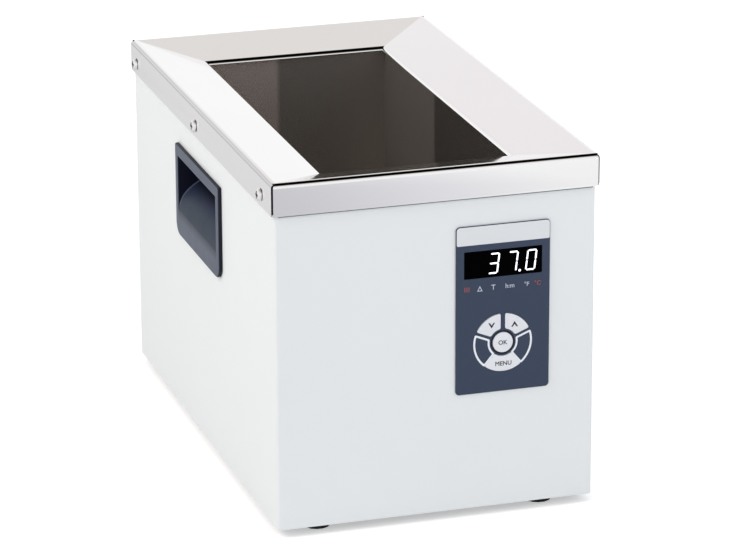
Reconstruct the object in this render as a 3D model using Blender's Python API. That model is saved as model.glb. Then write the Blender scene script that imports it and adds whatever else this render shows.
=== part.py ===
"""Laboratory water bath: a stainless tank in a white sheet steel casing, with a funnel rim, two
recessed grips, a key panel on the front and a mains inlet on the back.

Metres, +Z up. The origin is the middle of the footprint on the bench, the front faces -Y and +X is
to the right of someone who faces the front.
"""

import math

import bmesh
import bpy
from mathutils import Matrix, Vector

MM = 0.001
GAP = 0.3 * MM  # left between pieces that touch on the real object
OVERRUN = 2 * MM  # how far a cutter reaches past what it cuts

# Driving sizes of the whole
CASING_WIDTH = 216 * MM
CASING_LENGTH = 362 * MM
BODY_HEIGHT = 236 * MM  # from the casing's lower edge to the top of the rim
RIM_SIDE_WIDTH = 45 * MM  # of the funnel panels along the sides
RIM_END_WIDTH = 43 * MM  # of those at the front and back
TANK_RISE = 86 * MM  # the tank's floor over the casing's lower edge

# Feet and their screws
FOOT_HEIGHT = 6 * MM
FOOT_RADIUS = 9 * MM
FOOT_TOP_RADIUS = 8 * MM
FOOT_BORE_RADIUS = 2.4 * MM
FOOT_WELL_RADIUS = 4.4 * MM
FOOT_WELL_DEPTH = 3.4 * MM
FOOT_FROM_SIDE = 31.5 * MM
FOOT_FROM_END = 18 * MM
FOOT_SCREW_HEAD_RADIUS = 3.8 * MM
FOOT_SCREW_HEAD_HEIGHT = 2.2 * MM
FOOT_SCREW_RADIUS = 2 * MM
FOOT_SCREW_LENGTH = 10 * MM

# Casing: front and sides folded from one sheet
CASING_SHEET = 1.2 * MM
CASING_BEND = 3 * MM
CASING_REAR_FLANGE = 14 * MM
CASING_TOP_DROP = 4 * MM  # its upper edge under the top of the rim

# Rim: funnel panels, an outer flange over the casing and a lip into the tank
RIM_SHEET = 1.2 * MM
RIM_BEND = 2 * MM
RIM_OVERHANG = 2 * MM
RIM_FLANGE_HEIGHT = 22.4 * MM
RIM_DROP = 10 * MM
RIM_LIP = 4.5 * MM
RIM_SEAM = 1.1 * MM
RIM_SEAM_STOP = 1.6 * MM  # the seam ends this far under the top

# Rim screws, three on each long side
RIM_SCREW_DROP = 14.8 * MM
RIM_SCREW_FROM_FRONT = 24 * MM
RIM_SCREW_FROM_REAR = 13.5 * MM
RIM_SCREW_HEAD_RADIUS = 4 * MM
RIM_SCREW_HEAD_HEIGHT = 2.2 * MM
RIM_SCREW_RADIUS = 2 * MM
RIM_SCREW_LENGTH = 5.7 * MM
RIM_SCREW_CROWN_SHARES = (0.94, 0.62)  # of the head's radius, half way up and on top
RIM_SCREW_RECESS = 1.1 * MM
RIM_SCREW_RECESS_WIDTH = 1.1 * MM
RIM_SCREW_RECESS_REACH = 2.2 * MM
SCREW_HOLE_CLEARANCE = 0.4 * MM

# Tank
TANK_SHEET = 1 * MM
TANK_CORNER = 0.8 * MM  # folded and welded, so nearly sharp
TANK_FLOOR_BEND = 5 * MM
TANK_FLANGE = 13 * MM
TANK_TOP_CLEARANCE = 0.6 * MM
TANK_STUD_RADIUS = 2 * MM
TANK_STUD_LENGTH = 9 * MM

# Rails that carry the tank's flange on the casing's sides
RAIL_SHEET = 1.5 * MM
RAIL_BEND = 2.5 * MM
RAIL_DROP = 14 * MM
RAIL_END_CLEARANCE = 30 * MM
RAIL_LAP = 8 * MM

# Foam round the tank
FOAM_THICKNESS = 12 * MM
FOAM_CLEARANCE = 0.5 * MM
FOAM_RISE = 24 * MM  # its lower edge over the tank's floor
FOAM_TOP_CLEARANCE = 11.4 * MM  # under the rails

# Heating under the tank's floor
HEATER_SIDE_MARGIN = 14.5 * MM  # inside the tank's walls
HEATER_END_MARGIN = 23.5 * MM
HEATER_THICKNESS = 1.6 * MM
HEATER_CORNER = 6 * MM
CLAMP_SHEET = 1.5 * MM
CLAMP_MARGIN = 4 * MM  # the plate reaches this far past the mat
CLAMP_RIM_HEIGHT = 5 * MM
CLAMP_BEND = 2.5 * MM
STUD_FROM_MAT_SIDE = 10 * MM
STUD_FROM_MAT_END = 12 * MM
STUD_HOLE_CLEARANCE = 0.5 * MM
NUT_HEIGHT = 3.2 * MM
NUT_RADIUS = 4 * MM  # to its corners

# Sensor under its clip on the tank's rear wall, and the cut-out under the clamp plate
SENSOR_RADIUS = 3 * MM
SENSOR_LENGTH = 34 * MM
SENSOR_TIP = 1.2 * MM
SENSOR_RISE = 12 * MM  # over the tank's floor
CLIP_SHEET = 0.8 * MM
CLIP_WIDTH = 14 * MM
CLIP_FOOT = 7 * MM
CUTOUT_FROM_REAR = 141 * MM
CUTOUT_RADIUS = 8 * MM
CUTOUT_HEIGHT = 9 * MM
CUTOUT_FLANGE_RADIUS = 11 * MM
CUTOUT_FLANGE_HEIGHT = 1.2 * MM
CUTOUT_TAB_LENGTH = 8 * MM
CUTOUT_TAB_WIDTH = 6.3 * MM
CUTOUT_TAB_THICKNESS = 0.8 * MM
CUTOUT_TAB_FROM_MIDDLE = 4 * MM

# Base tray
TRAY_SHEET = 1.2 * MM
TRAY_FLANGE_HEIGHT = 12 * MM
TRAY_CORNER = 4 * MM
TRAY_BEND = 2 * MM
VENT_LENGTH = 40 * MM
VENT_WIDTH = 4 * MM
VENT_PITCH = 9 * MM
VENT_COUNT = 6
VENT_FROM_SIDE = 53 * MM  # the middle of the block of vents, from the left side and the front
VENT_FROM_FRONT = 121 * MM
STANDOFF_RADIUS = 3 * MM
STANDOFF_HEIGHT = 8 * MM

# Rear panel
REAR_SHEET = 1.2 * MM
REAR_VENT_FROM_SIDE = 60 * MM
REAR_VENT_RISE = 46 * MM  # over the casing's lower edge
REAR_VENT_COUNT = 5

# Grips in the casing's sides
GRIP_LENGTH = 112 * MM
GRIP_HEIGHT = 64 * MM
GRIP_TOP_DROP = 41.5 * MM  # its upper edge under the top of the rim
GRIP_MIDDLE_Y = 2 * MM
GRIP_PROUD = 2.7 * MM
GRIP_EDGE_BEVEL = 0.8 * MM
GRIP_TOP_CORNER = 3 * MM
GRIP_LOWER_CORNER = 9 * MM
GRIP_END_BORDER = 6.5 * MM
GRIP_TOP_BORDER = 9 * MM
GRIP_LOWER_BORDER = 15 * MM
GRIP_POCKET_CORNER = 3 * MM
GRIP_DEPTH = 27 * MM
GRIP_HOOK = 5 * MM  # the pocket reaches this far up behind the top border
GRIP_WALL = 2.2 * MM
GRIP_LAND = 2.5 * MM  # the top border's thickness in front of the hook
GRIP_CUT_CLEARANCE = 0.4 * MM
GRIP_SCOOP_HEIGHT = 27 * MM
GRIP_SCOOP_DEPTH_POWER = 1.6
GRIP_SCOOP_RISE_POWER = 0.5

# Key panel on the front
PANEL_WIDTH = 64 * MM
PANEL_HEIGHT = 114.5 * MM
PANEL_TOP_DROP = 41.7 * MM
PANEL_FROM_SIDE = 63.3 * MM  # its middle to the casing's right side
PANEL_PROUD = 1.2 * MM
PANEL_CORNER = 2.6 * MM
PANEL_LAP = 3 * MM  # how far its border lies over the casing
PANEL_PLATE = 2 * MM
PANEL_WALL = 1.5 * MM
PANEL_DEPTH = 13 * MM
PANEL_POST_RADIUS = 2.5 * MM
HEADER_HEIGHT = 12.4 * MM
HEADER_THICKNESS = 0.3 * MM
HEADER_MARGIN = 0.8 * MM
WINDOW_WIDTH = 53.2 * MM
WINDOW_HEIGHT = 18.6 * MM
WINDOW_DROP = 17.1 * MM  # under the panel's upper edge
WINDOW_RECESS = 0.2 * MM
WINDOW_CORNER = 0.6 * MM
DISPLAY_WIDTH = 50.3 * MM
DISPLAY_HEIGHT = 19 * MM
BOARD_THICKNESS = 1.6 * MM
BOARD_CLEARANCE = 0.4 * MM

# Keys: a round one with three sectors of a ring round it
KEY_PLACE_SHARE = 0.67  # of the free height between the lamps and the housing's lower wall
KEY_PROUD = 0.6 * MM
KEY_TRAVEL = 0.5 * MM
KEY_CLEARANCE = 0.35 * MM
KEY_LIP = 0.6 * MM
KEY_LIP_THICKNESS = 0.8 * MM
KEY_BEVEL = 0.25 * MM
KEY_ROUND_RADIUS = 7.2 * MM
KEY_INNER_RADIUS = 9 * MM
KEY_OUTER_RADIUS = 20.1 * MM
KEY_SPLIT = 2.4 * MM  # between the two upper keys
KEY_CORNER = 0.7 * MM
KEY_GAP = 1.6 * MM  # between an upper key and the blank field under it
KEY_UPPER_START = 22  # degrees above the horizontal
KEY_MENU_HALF_ANGLE = 40  # degrees either side of straight down
SWITCH_SIDE = 6 * MM
SWITCH_HEIGHT = 3.3 * MM
SWITCH_PLUNGER_RADIUS = 1.7 * MM
SWITCH_PLUNGER_HEIGHT = 1 * MM
LAMP_SIDE = 2 * MM
LAMP_HEIGHT = 3 * MM
LAMP_DROP = 42.5 * MM  # the row of lamps under the panel's upper edge
LAMP_PLACE_SHARES = (-0.38, -0.241, -0.094, 0.077, 0.253, 0.378)  # of the panel's width

# Mains inlet with its rocker and fuse drawer
INLET_FROM_SIDE = 50 * MM  # its middle to the casing's right side
INLET_RISE = 44 * MM  # its middle over the casing's lower edge
INLET_WIDTH = 28 * MM
INLET_HEIGHT = 60 * MM
INLET_DEPTH = 30 * MM
INLET_FLANGE_LAP = 5 * MM
INLET_FLANGE_THICKNESS = 2 * MM
INLET_CORNER = 3 * MM
INLET_BEVEL = 0.5 * MM
INLET_CUT_CLEARANCE = 0.4 * MM
SOCKET_WIDTH = 24.4 * MM
SOCKET_HEIGHT = 16.8 * MM
SOCKET_DEPTH = 19 * MM
SOCKET_CORNER = 4 * MM
SOCKET_LOWER_CORNER = 1 * MM
SOCKET_RISE = 12.5 * MM  # its middle over the inlet's lower end
PIN_THICKNESS = 2 * MM
PIN_WIDTH = 4 * MM
PIN_SPACING = 7 * MM
PIN_OFFSET = 2 * MM
PIN_RECESS = 4.8 * MM
PIN_TAIL = 6 * MM
PIN_BEVEL = 0.5 * MM
DRAWER_WIDTH = 23 * MM
DRAWER_HEIGHT = 8 * MM
DRAWER_DEPTH = 16 * MM
DRAWER_RISE = 28.5 * MM
DRAWER_CLEARANCE = 0.35 * MM
DRAWER_LIP = 0.8 * MM
DRAWER_LAP = 1 * MM
DRAWER_NOTCH_RADIUS = 2.4 * MM
DRAWER_NOTCH_WIDTH = 11.5 * MM
FUSE_RADIUS = 2.55 * MM
FUSE_LENGTH = 20 * MM
FUSE_PITCH = 6.8 * MM
FUSE_SIDE_CLEARANCE = 0.3 * MM
ROCKER_WIDTH = 13 * MM
ROCKER_LENGTH = 20 * MM
ROCKER_RISE = 45.5 * MM
ROCKER_ANGLE = 9  # degrees each way from level
ROCKER_VALLEY = 0.9 * MM  # the shallow valley between its two faces
ROCKER_SINK = 1.3 * MM  # the valley under the flange's face
ROCKER_TAPER = 1 * MM
ROCKER_PIVOT_DEPTH = 5 * MM
ROCKER_CLEARANCE = 0.4 * MM
ROCKER_WELL_DEPTH = 13 * MM
ROCKER_KEEL = 5 * MM
ROCKER_KEEL_WIDTH = 6 * MM

# Power board on the base tray
POWER_BOARD_WIDTH = 104 * MM
POWER_BOARD_LENGTH = 84 * MM
POWER_BOARD_X = 10 * MM
POWER_BOARD_FROM_REAR = 103 * MM  # its middle to the casing's rear edge
POWER_BOARD_MARGIN = 6 * MM  # from a standoff's middle to the board's edges
TRANSFORMER_WIDTH = 42 * MM
TRANSFORMER_LENGTH = 36 * MM
TRANSFORMER_HEIGHT = 32 * MM
TRANSFORMER_X = -12 * MM
TRANSFORMER_COIL_WIDTH = 30 * MM
TRANSFORMER_COIL_BULGE = 5 * MM
HEAT_SINK_WIDTH = 44 * MM
HEAT_SINK_HEIGHT = 26 * MM
HEAT_SINK_BASE = 3 * MM
HEAT_SINK_DEPTH = 16 * MM
HEAT_SINK_X = 36 * MM
HEAT_SINK_FROM_REAR = 111 * MM
FIN_COUNT = 7
FIN_THICKNESS = 1.5 * MM
TRIAC_WIDTH = 10 * MM
TRIAC_HEIGHT = 15 * MM
TRIAC_THICKNESS = 4.4 * MM
TRIAC_LEG_HEIGHT = 5 * MM
TRIAC_LEG = 0.8 * MM
TRIAC_LEG_PITCH = 2.5 * MM

# Heights that several pieces share
CASING_BOTTOM = FOOT_HEIGHT
RIM_TOP = CASING_BOTTOM + BODY_HEIGHT
TRAY_FLOOR = CASING_BOTTOM + TRAY_SHEET
TANK_FLOOR = CASING_BOTTOM + TANK_RISE
TANK_UNDERSIDE = TANK_FLOOR - TANK_SHEET
FRONT = -CASING_LENGTH / 2
REAR = CASING_LENGTH / 2
SIDE = CASING_WIDTH / 2
OPENING_WIDTH = CASING_WIDTH + 2 * (RIM_OVERHANG - RIM_SIDE_WIDTH)
OPENING_LENGTH = CASING_LENGTH + 2 * (RIM_OVERHANG - RIM_END_WIDTH)
TANK_INNER_WIDTH = OPENING_WIDTH + 2 * (RIM_SHEET + GAP)
TANK_INNER_LENGTH = OPENING_LENGTH + 2 * (RIM_SHEET + GAP)
HEATER_WIDTH = TANK_INNER_WIDTH - 2 * HEATER_SIDE_MARGIN
HEATER_LENGTH = TANK_INNER_LENGTH - 2 * HEATER_END_MARGIN
TANK_TOP = RIM_TOP - RIM_DROP - RIM_SHEET - TANK_TOP_CLEARANCE
RAIL_TOP = TANK_TOP - TANK_SHEET - GAP
REAR_PANEL_FACE = REAR - CASING_SHEET - GAP
POWER_BOARD_Y = REAR - POWER_BOARD_FROM_REAR
HEAT_SINK_Y = REAR - HEAT_SINK_FROM_REAR
CUTOUT_Y = REAR - CUTOUT_FROM_REAR
INLET_FACE = REAR_PANEL_FACE + GAP + INLET_FLANGE_THICKNESS
INLET_X = SIDE - INLET_FROM_SIDE
INLET_Z = CASING_BOTTOM + INLET_RISE
INLET_BOTTOM = INLET_Z - INLET_HEIGHT / 2
PANEL_MIDDLE_X = SIDE - PANEL_FROM_SIDE
PANEL_FACE = FRONT - PANEL_PROUD
PANEL_BACK = PANEL_FACE + PANEL_PLATE
PANEL_TOP = RIM_TOP - PANEL_TOP_DROP
KEY_REACH = KEY_OUTER_RADIUS + KEY_LIP
KEY_HIGHEST = PANEL_TOP - LAMP_DROP - LAMP_SIDE / 2 - KEY_REACH
KEY_LOWEST = PANEL_TOP - PANEL_HEIGHT + PANEL_LAP + GAP + PANEL_WALL + KEY_REACH
KEY_MIDDLE_Z = KEY_HIGHEST + (KEY_LOWEST - KEY_HIGHEST) * KEY_PLACE_SHARE
KEY_LIP_FACE = PANEL_BACK + GAP
KEY_BACK = KEY_LIP_FACE + KEY_LIP_THICKNESS
SWITCH_FACE = KEY_BACK + KEY_TRAVEL + GAP
BOARD_FACE = SWITCH_FACE + SWITCH_PLUNGER_HEIGHT + SWITCH_HEIGHT
CLAMP_TOP = TANK_UNDERSIDE - GAP - HEATER_THICKNESS - GAP
CLAMP_UNDERSIDE = CLAMP_TOP - CLAMP_SHEET
POWER_BOARD_TOP = TRAY_FLOOR + STANDOFF_HEIGHT + GAP + BOARD_THICKNESS

# Smoothness of round shapes
BEND_STEPS = 3
CORNER_STEPS = 4
ROUND_SIDES = 20
SMALL_ROUND_SIDES = 14
SECTOR_STEPS = 8
POCKET_STEPS = 8
SLOT_STEPS = 4
NUT_SIDES = 6
SMOOTH_ANGLE = 35

FINISHES = {
    "powder_coat": ((0.74, 0.77, 0.79), 0.45, 0.0),
    "stainless": ((0.74, 0.73, 0.72), 0.2, 1.0),
    "dark_stainless": ((0.35, 0.33, 0.31), 0.3, 1.0),
    "zinc": ((0.62, 0.63, 0.64), 0.4, 1.0),
    "aluminium": ((0.7, 0.71, 0.72), 0.35, 1.0),
    "slate_plastic": ((0.058, 0.071, 0.107), 0.5, 0.0),
    "black_plastic": ((0.012, 0.012, 0.013), 0.45, 0.0),
    "rubber": ((0.02, 0.02, 0.02), 0.8, 0.0),
    "pale_print": ((0.72, 0.73, 0.74), 0.4, 0.0),
    "smoked_window": ((0.004, 0.004, 0.005), 0.08, 0.0),
    "silicone": ((0.45, 0.09, 0.04), 0.6, 0.0),
    "foam": ((0.06, 0.06, 0.06), 0.95, 0.0),
    "circuit_board": ((0.01, 0.12, 0.05), 0.4, 0.0),
    "brass": ((0.72, 0.53, 0.22), 0.3, 1.0),
    "fuse_glass": ((0.75, 0.8, 0.8), 0.05, 0.0),
    "lamination": ((0.1, 0.1, 0.11), 0.5, 0.6),
}


def finish_material(name):
    """The named finish as a Principled material, made once."""
    material = bpy.data.materials.get(name)
    if material is None:
        color, roughness, metallic = FINISHES[name]
        material = bpy.data.materials.new(name)
        material.use_nodes = True
        shader = material.node_tree.nodes["Principled BSDF"]
        shader.inputs["Base Color"].default_value = (*color, 1)
        shader.inputs["Roughness"].default_value = roughness
        shader.inputs["Metallic"].default_value = metallic
    return material


def add_object(name, bm, finish):
    """A linked object made of one closed bmesh, its round faces shaded smooth."""
    bmesh.ops.recalc_face_normals(bm, faces=bm.faces)
    mesh = bpy.data.meshes.new(name)
    bm.to_mesh(mesh)
    bm.free()
    mesh.shade_smooth()
    mesh.set_sharp_from_angle(angle=math.radians(SMOOTH_ANGLE))
    mesh.materials.append(finish_material(finish))
    obj = bpy.data.objects.new(name, mesh)
    bpy.context.collection.objects.link(obj)
    return obj


def add_helper(name, bm):
    """A hidden object that only cuts others or is joined to them."""
    helper = add_object(name, bm, "black_plastic")
    helper.hide_render = True
    helper.display_type = "WIRE"
    return helper


def combine(target, helper, operation):
    """Adds a Boolean with the helper to the target, and gives the target back."""
    modifier = target.modifiers.new(helper.name, "BOOLEAN")
    modifier.operation = operation
    modifier.object = helper
    return target


def cut(target, name, bm):
    return combine(target, add_helper(name, bm), "DIFFERENCE")


def fuse(target, name, bm):
    return combine(target, add_helper(name, bm), "UNION")


def arc(centre, radius, start, end, steps):
    """Points of an arc, with the angles in degrees."""
    angles = [math.radians(start + (end - start) * i / steps) for i in range(steps + 1)]
    return [(centre[0] + radius * math.cos(a), centre[1] + radius * math.sin(a)) for a in angles]


def rounded_rectangle(width, height, radii, middle=(0, 0), steps=CORNER_STEPS):
    """Counter-clockwise outline. radii is one radius, or those of the lower left, lower right,
    upper right and upper left corners."""
    radii = radii if isinstance(radii, tuple) else (radii,) * 4
    corners = ((-1, -1, 180), (1, -1, 270), (1, 1, 0), (-1, 1, 90))
    points = []
    for (sx, sy, start), radius in zip(corners, radii):
        centre = (middle[0] + sx * (width / 2 - radius), middle[1] + sy * (height / 2 - radius))
        points += arc(centre, radius, start, start + 90, steps)
    return points


def rounded_path(points, radius, steps=BEND_STEPS):
    """An open path whose inner corners are arcs of the given radius."""
    path = [Vector(points[0])]
    for before, corner, after in zip(points, points[1:], points[2:]):
        corner = Vector(corner)
        back = (Vector(before) - corner).normalized()
        ahead = (Vector(after) - corner).normalized()
        half = back.angle(ahead) / 2
        centre = corner + (back + ahead).normalized() * radius / math.sin(half)
        first = corner + back * radius / math.tan(half) - centre
        last = corner + ahead * radius / math.tan(half) - centre
        turn = first.angle_signed(last)
        for i in range(steps + 1):
            path.append(centre + Matrix.Rotation(-turn * i / steps, 2) @ first)
    path.append(Vector(points[-1]))
    return [tuple(point) for point in path]


def shifted_path(points, distance):
    """The path moved to its right by the distance, with mitred corners."""
    points = [Vector(point) for point in points]
    normals = [Vector((b.y - a.y, a.x - b.x)).normalized() for a, b in zip(points, points[1:])]
    joints = zip([normals[0], *normals], [*normals, normals[-1]])
    moved = []
    for point, (before, after) in zip(points, joints):
        middle = (before + after).normalized()
        moved.append(tuple(point + middle * distance / middle.dot(before)))
    return moved


def folded_section(points, bend, thickness):
    """Closed outline of a folded sheet. The path runs along its outer face and turns right."""
    outer = rounded_path(points, bend)
    inner = rounded_path(shifted_path(points, thickness), bend - thickness)
    return outer + inner[::-1]


def stitch(bm, rings, closed=False):
    """Side faces between neighbouring rings of vertices, the last and first too if closed."""
    pairs = list(zip(rings, rings[1:]))
    if closed:
        pairs.append((rings[-1], rings[0]))
    for low, high in pairs:
        for i, vertex in enumerate(low):
            following = (i + 1) % len(low)
            bm.faces.new((vertex, low[following], high[following], high[i]))


def loft(rings, bm=None):
    """Closed solid through rings of equally many points, with flat ends."""
    bm = bm or bmesh.new()
    made = [[bm.verts.new(point) for point in ring] for ring in rings]
    stitch(bm, made)
    bm.faces.new(made[0])
    bm.faces.new(made[-1])
    return bm


def lifted(outline, axis, level):
    """A flat outline as 3-D points: its plane crosses the axis at the level. The outline's own
    coordinates keep the order X, Y, Z."""
    slot = "XYZ".index(axis)
    return [(*point[:slot], level, *point[slot:]) for point in map(tuple, outline)]


def prism(outline, axis, start, end, bm=None):
    return loft([lifted(outline, axis, start), lifted(outline, axis, end)], bm)


def bevelled_prism(outline, axis, start, end, bevel):
    """A prism whose end face is drawn in by the bevel along its edge."""
    inward = -bevel if end > start else bevel
    inner = inset_outline(outline, bevel)
    steps = ((outline, start), (outline, end + inward), (inner, end))
    return loft([lifted(ring, axis, level) for ring, level in steps])


def inset_outline(outline, distance):
    """A counter-clockwise outline drawn in by the distance. A negative one grows it."""
    points = [Vector(point) for point in outline]
    moved = []
    for before, point, after in zip([points[-1], *points], points, [*points[1:], points[0]]):
        first = Vector((before.y - point.y, point.x - before.x)).normalized()
        second = Vector((point.y - after.y, after.x - point.x)).normalized()
        middle = (first + second).normalized()
        moved.append(tuple(point + middle * distance / middle.dot(first)))
    return moved


def block(width, length, height, middle, bm=None):
    """A box by its three sizes and its middle."""
    outline = rectangle(width, length, middle[:2])
    return prism(outline, "Z", middle[2] - height / 2, middle[2] + height / 2, bm)


def rectangle(width, height, middle=(0, 0)):
    """Counter-clockwise outline of a plain rectangle."""
    x, y = middle
    corners = ((-1, -1), (1, -1), (1, 1), (-1, 1))
    return [(x + sx * width / 2, y + sy * height / 2) for sx, sy in corners]


def slot_outline(length, width, middle):
    """Counter-clockwise outline of a slot with round ends, along the first coordinate."""
    reach = (length - width) / 2
    right = arc((middle[0] + reach, middle[1]), width / 2, -90, 90, SLOT_STEPS)
    return right + arc((middle[0] - reach, middle[1]), width / 2, 90, 270, SLOT_STEPS)


def cross_outline(reach, half, middle):
    """Counter-clockwise outline of an upright cross with arms of the given half width."""
    quarter = [(half, -reach), (half, -half), (reach, -half)]
    points = []
    for cos, sin in ((1, 0), (0, 1), (-1, 0), (0, -1)):
        for u, v in quarter:
            points.append((middle[0] + u * cos - v * sin, middle[1] + u * sin + v * cos))
    return points


def circle(radius, middle=(0, 0), sides=ROUND_SIDES):
    return arc(middle, radius, 0, 360 - 360 / sides, sides - 1)


def turned(profile, axis, middle, sides=ROUND_SIDES):
    """Closed solid of revolution. The profile lists (level along the axis, radius)."""
    rings = [lifted(circle(radius, middle, sides), axis, level) for level, radius in profile]
    return loft(rings)


def open_tray(inside, levels, sheet, corner, bend, flange=0, middle_y=0):
    """A box open at the top, with round corners, a bent floor edge and, where flange isn't zero,
    a flange outwards round its mouth. inside is its inner width and length, and levels are those
    of its floor's upper face and of its top."""
    inner_width, inner_length = inside
    floor, top = levels
    angles = [math.pi / 2 * i / BEND_STEPS for i in range(BEND_STEPS + 1)]
    inner = [(bend * (math.sin(a) - 1), floor + bend * (1 - math.cos(a))) for a in angles]
    inner.append((0, top))
    outer = []
    if flange:
        outer += [(sheet + flange, top), (sheet + flange, top - sheet), (sheet, top - sheet)]
    else:
        outer.append((sheet, top))
    reach = bend + sheet
    for a in reversed(angles):
        rise = reach * (1 - math.cos(a))
        outer.append((sheet - reach * (1 - math.sin(a)), floor - sheet + rise))
    rings = []
    for growth, level in inner + outer:
        size = (inner_width + 2 * growth, inner_length + 2 * growth)
        outline = rounded_rectangle(*size, max(corner + growth, GAP), (0, middle_y))
        rings.append(lifted(outline, "Z", level))
    return loft(rings)


def grip_outline(growth=0):
    """Outline of a grip's border in Y and Z."""
    middle = (GRIP_MIDDLE_Y, RIM_TOP - GRIP_TOP_DROP - GRIP_HEIGHT / 2)
    lower, upper = GRIP_LOWER_CORNER, GRIP_TOP_CORNER
    outline = rounded_rectangle(GRIP_LENGTH, GRIP_HEIGHT, (lower, lower, upper, upper), middle)
    return inset_outline(outline, -growth)


def grip_pocket_bounds():
    """The pocket's lowest and highest Y and Z at the border's face."""
    top = RIM_TOP - GRIP_TOP_DROP
    return (
        GRIP_MIDDLE_Y - GRIP_LENGTH / 2 + GRIP_END_BORDER,
        GRIP_MIDDLE_Y + GRIP_LENGTH / 2 - GRIP_END_BORDER,
        top - GRIP_HEIGHT + GRIP_LOWER_BORDER,
        top - GRIP_TOP_BORDER,
    )


def grip_scoop():
    """The scoop's curve in depth and Z: along the face at first, then ever deeper."""
    low = grip_pocket_bounds()[2]
    points = []
    for i in range(POCKET_STEPS + 1):
        share = i / POCKET_STEPS
        depth = (GRIP_DEPTH - GRIP_WALL) * share**GRIP_SCOOP_DEPTH_POWER
        points.append((depth, low + GRIP_SCOOP_HEIGHT * share**GRIP_SCOOP_RISE_POWER))
    return points


def grip_pocket_section():
    """Section of the pocket in depth and Z, which hooks up behind the top border."""
    _, _, low, high = grip_pocket_bounds()
    depth = GRIP_DEPTH - GRIP_WALL
    top = high + GRIP_HOOK + OVERRUN
    upper = [(depth, top), (GRIP_LAND, top), (GRIP_LAND, high)]
    return [(-OVERRUN, high), (-OVERRUN, low), *grip_scoop(), *upper]


def grip_cup_section():
    """Section of the cup's outside, one wall outside the pocket, from inside the border's plate."""
    _, _, low, high = grip_pocket_bounds()
    start = GRIP_PROUD / 2 + GRIP_WALL
    top = high + GRIP_HOOK + OVERRUN
    deeper = [point for point in grip_scoop() if point[0] > start]
    hollow = [(start, top), (start, low), *deeper, (GRIP_DEPTH - GRIP_WALL, top)]
    return inset_outline(hollow, -GRIP_WALL)


def make_casing():
    """Front and sides folded from one sheet, with flanges turned in along the back edge."""
    path = [
        (SIDE - CASING_REAR_FLANGE, REAR),
        (SIDE, REAR),
        (SIDE, FRONT),
        (-SIDE, FRONT),
        (-SIDE, REAR),
        (-SIDE + CASING_REAR_FLANGE, REAR),
    ]
    section = folded_section(path, CASING_BEND, CASING_SHEET)
    sheet = prism(section, "Z", CASING_BOTTOM, RIM_TOP - CASING_TOP_DROP)
    casing = add_object("casing", sheet, "powder_coat")
    hole = grip_cup_outline(GRIP_CUT_CLEARANCE)
    cut(casing, "grip_holes", prism(hole, "X", -SIDE - OVERRUN, SIDE + OVERRUN))
    cut(casing, "panel_hole", prism(panel_box(0), "Y", FRONT - OVERRUN, FRONT + CASING_SHEET + OVERRUN))
    cut(casing, "rim_screw_holes", rim_screw_holes())
    return casing


def grip_cup_outline(growth=0):
    """Outline in Y and Z of the cup behind a grip's border."""
    front, back, low, high = grip_pocket_bounds()
    wall = GRIP_WALL + growth
    middle = ((front + back) / 2, (low + high + GRIP_HOOK) / 2)
    size = (back - front + 2 * wall, high + GRIP_HOOK - low + 2 * wall)
    return rounded_rectangle(*size, GRIP_POCKET_CORNER + wall, middle)


def rim_screw_places():
    """Y of the three screws along a side, the middle one half way between the others."""
    first, last = FRONT + RIM_SCREW_FROM_FRONT, REAR - RIM_SCREW_FROM_REAR
    return (first, (first + last) / 2, last)


def rim_screw_holes():
    """Cutter through both sides at every screw."""
    bm = bmesh.new()
    radius = RIM_SCREW_RADIUS + SCREW_HOLE_CLEARANCE
    for y in rim_screw_places():
        outline = circle(radius, (y, RIM_TOP - RIM_SCREW_DROP), SMALL_ROUND_SIDES)
        prism(outline, "X", -SIDE - RIM_OVERHANG - OVERRUN, SIDE + RIM_OVERHANG + OVERRUN, bm)
    return bm


def make_rim():
    """One folded profile carried round the four sides with mitred corners, slit at each corner of
    its outer flange."""
    half_width = SIDE + RIM_OVERHANG
    half_length = REAR + RIM_OVERHANG
    reach_x = half_width - OPENING_WIDTH / 2
    reach_y = half_length - OPENING_LENGTH / 2
    path = [(0, -RIM_FLANGE_HEIGHT), (0, 0), (reach_x, -RIM_DROP), (reach_x, -RIM_DROP - RIM_LIP)]
    profile = folded_section(path, RIM_BEND, RIM_SHEET)
    stretch = reach_y / reach_x
    bm = bmesh.new()
    rings = []
    for sx, sy in ((-1, -1), (1, -1), (1, 1), (-1, 1)):
        ring = []
        for inward, level in profile:
            y = half_length - rim_inset_along(inward, reach_x, stretch)
            ring.append(bm.verts.new((sx * (half_width - inward), sy * y, RIM_TOP + level)))
        rings.append(ring)
    stitch(bm, rings, closed=True)
    rim = add_object("rim_frame", bm, "stainless")
    seams = bmesh.new()
    for sx in (-1, 1):
        for sy in (-1, 1):
            corner = Vector((sx * half_width, sy * half_length, 0))
            along = Vector((sx, sy, 0)).normalized() * (RIM_SHEET + RIM_OVERHANG)
            across = Vector((-sy, sx, 0)).normalized() * RIM_SEAM / 2
            ends = (along + across, across - along, -along - across, along - across)
            outline = [corner + end for end in ends]
            levels = (RIM_TOP - RIM_FLANGE_HEIGHT - OVERRUN, RIM_TOP - RIM_BEND - RIM_SEAM_STOP)
            loft([[(p.x, p.y, z) for p in outline] for z in levels], seams)
    cut(rim, "rim_seams", seams)
    cut(rim, "rim_screw_holes_in_flange", rim_screw_holes())
    return rim


def rim_inset_along(inward, reach, stretch):
    """How far a point of the profile lies in from the front or back face. The sheet's thickness at
    each end of the funnel stays, and the funnel between takes up the difference."""
    start, end = RIM_BEND, reach - RIM_BEND
    share = min(max((inward - start) / (end - start), 0), 1)
    return inward + share * reach * (stretch - 1)


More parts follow.
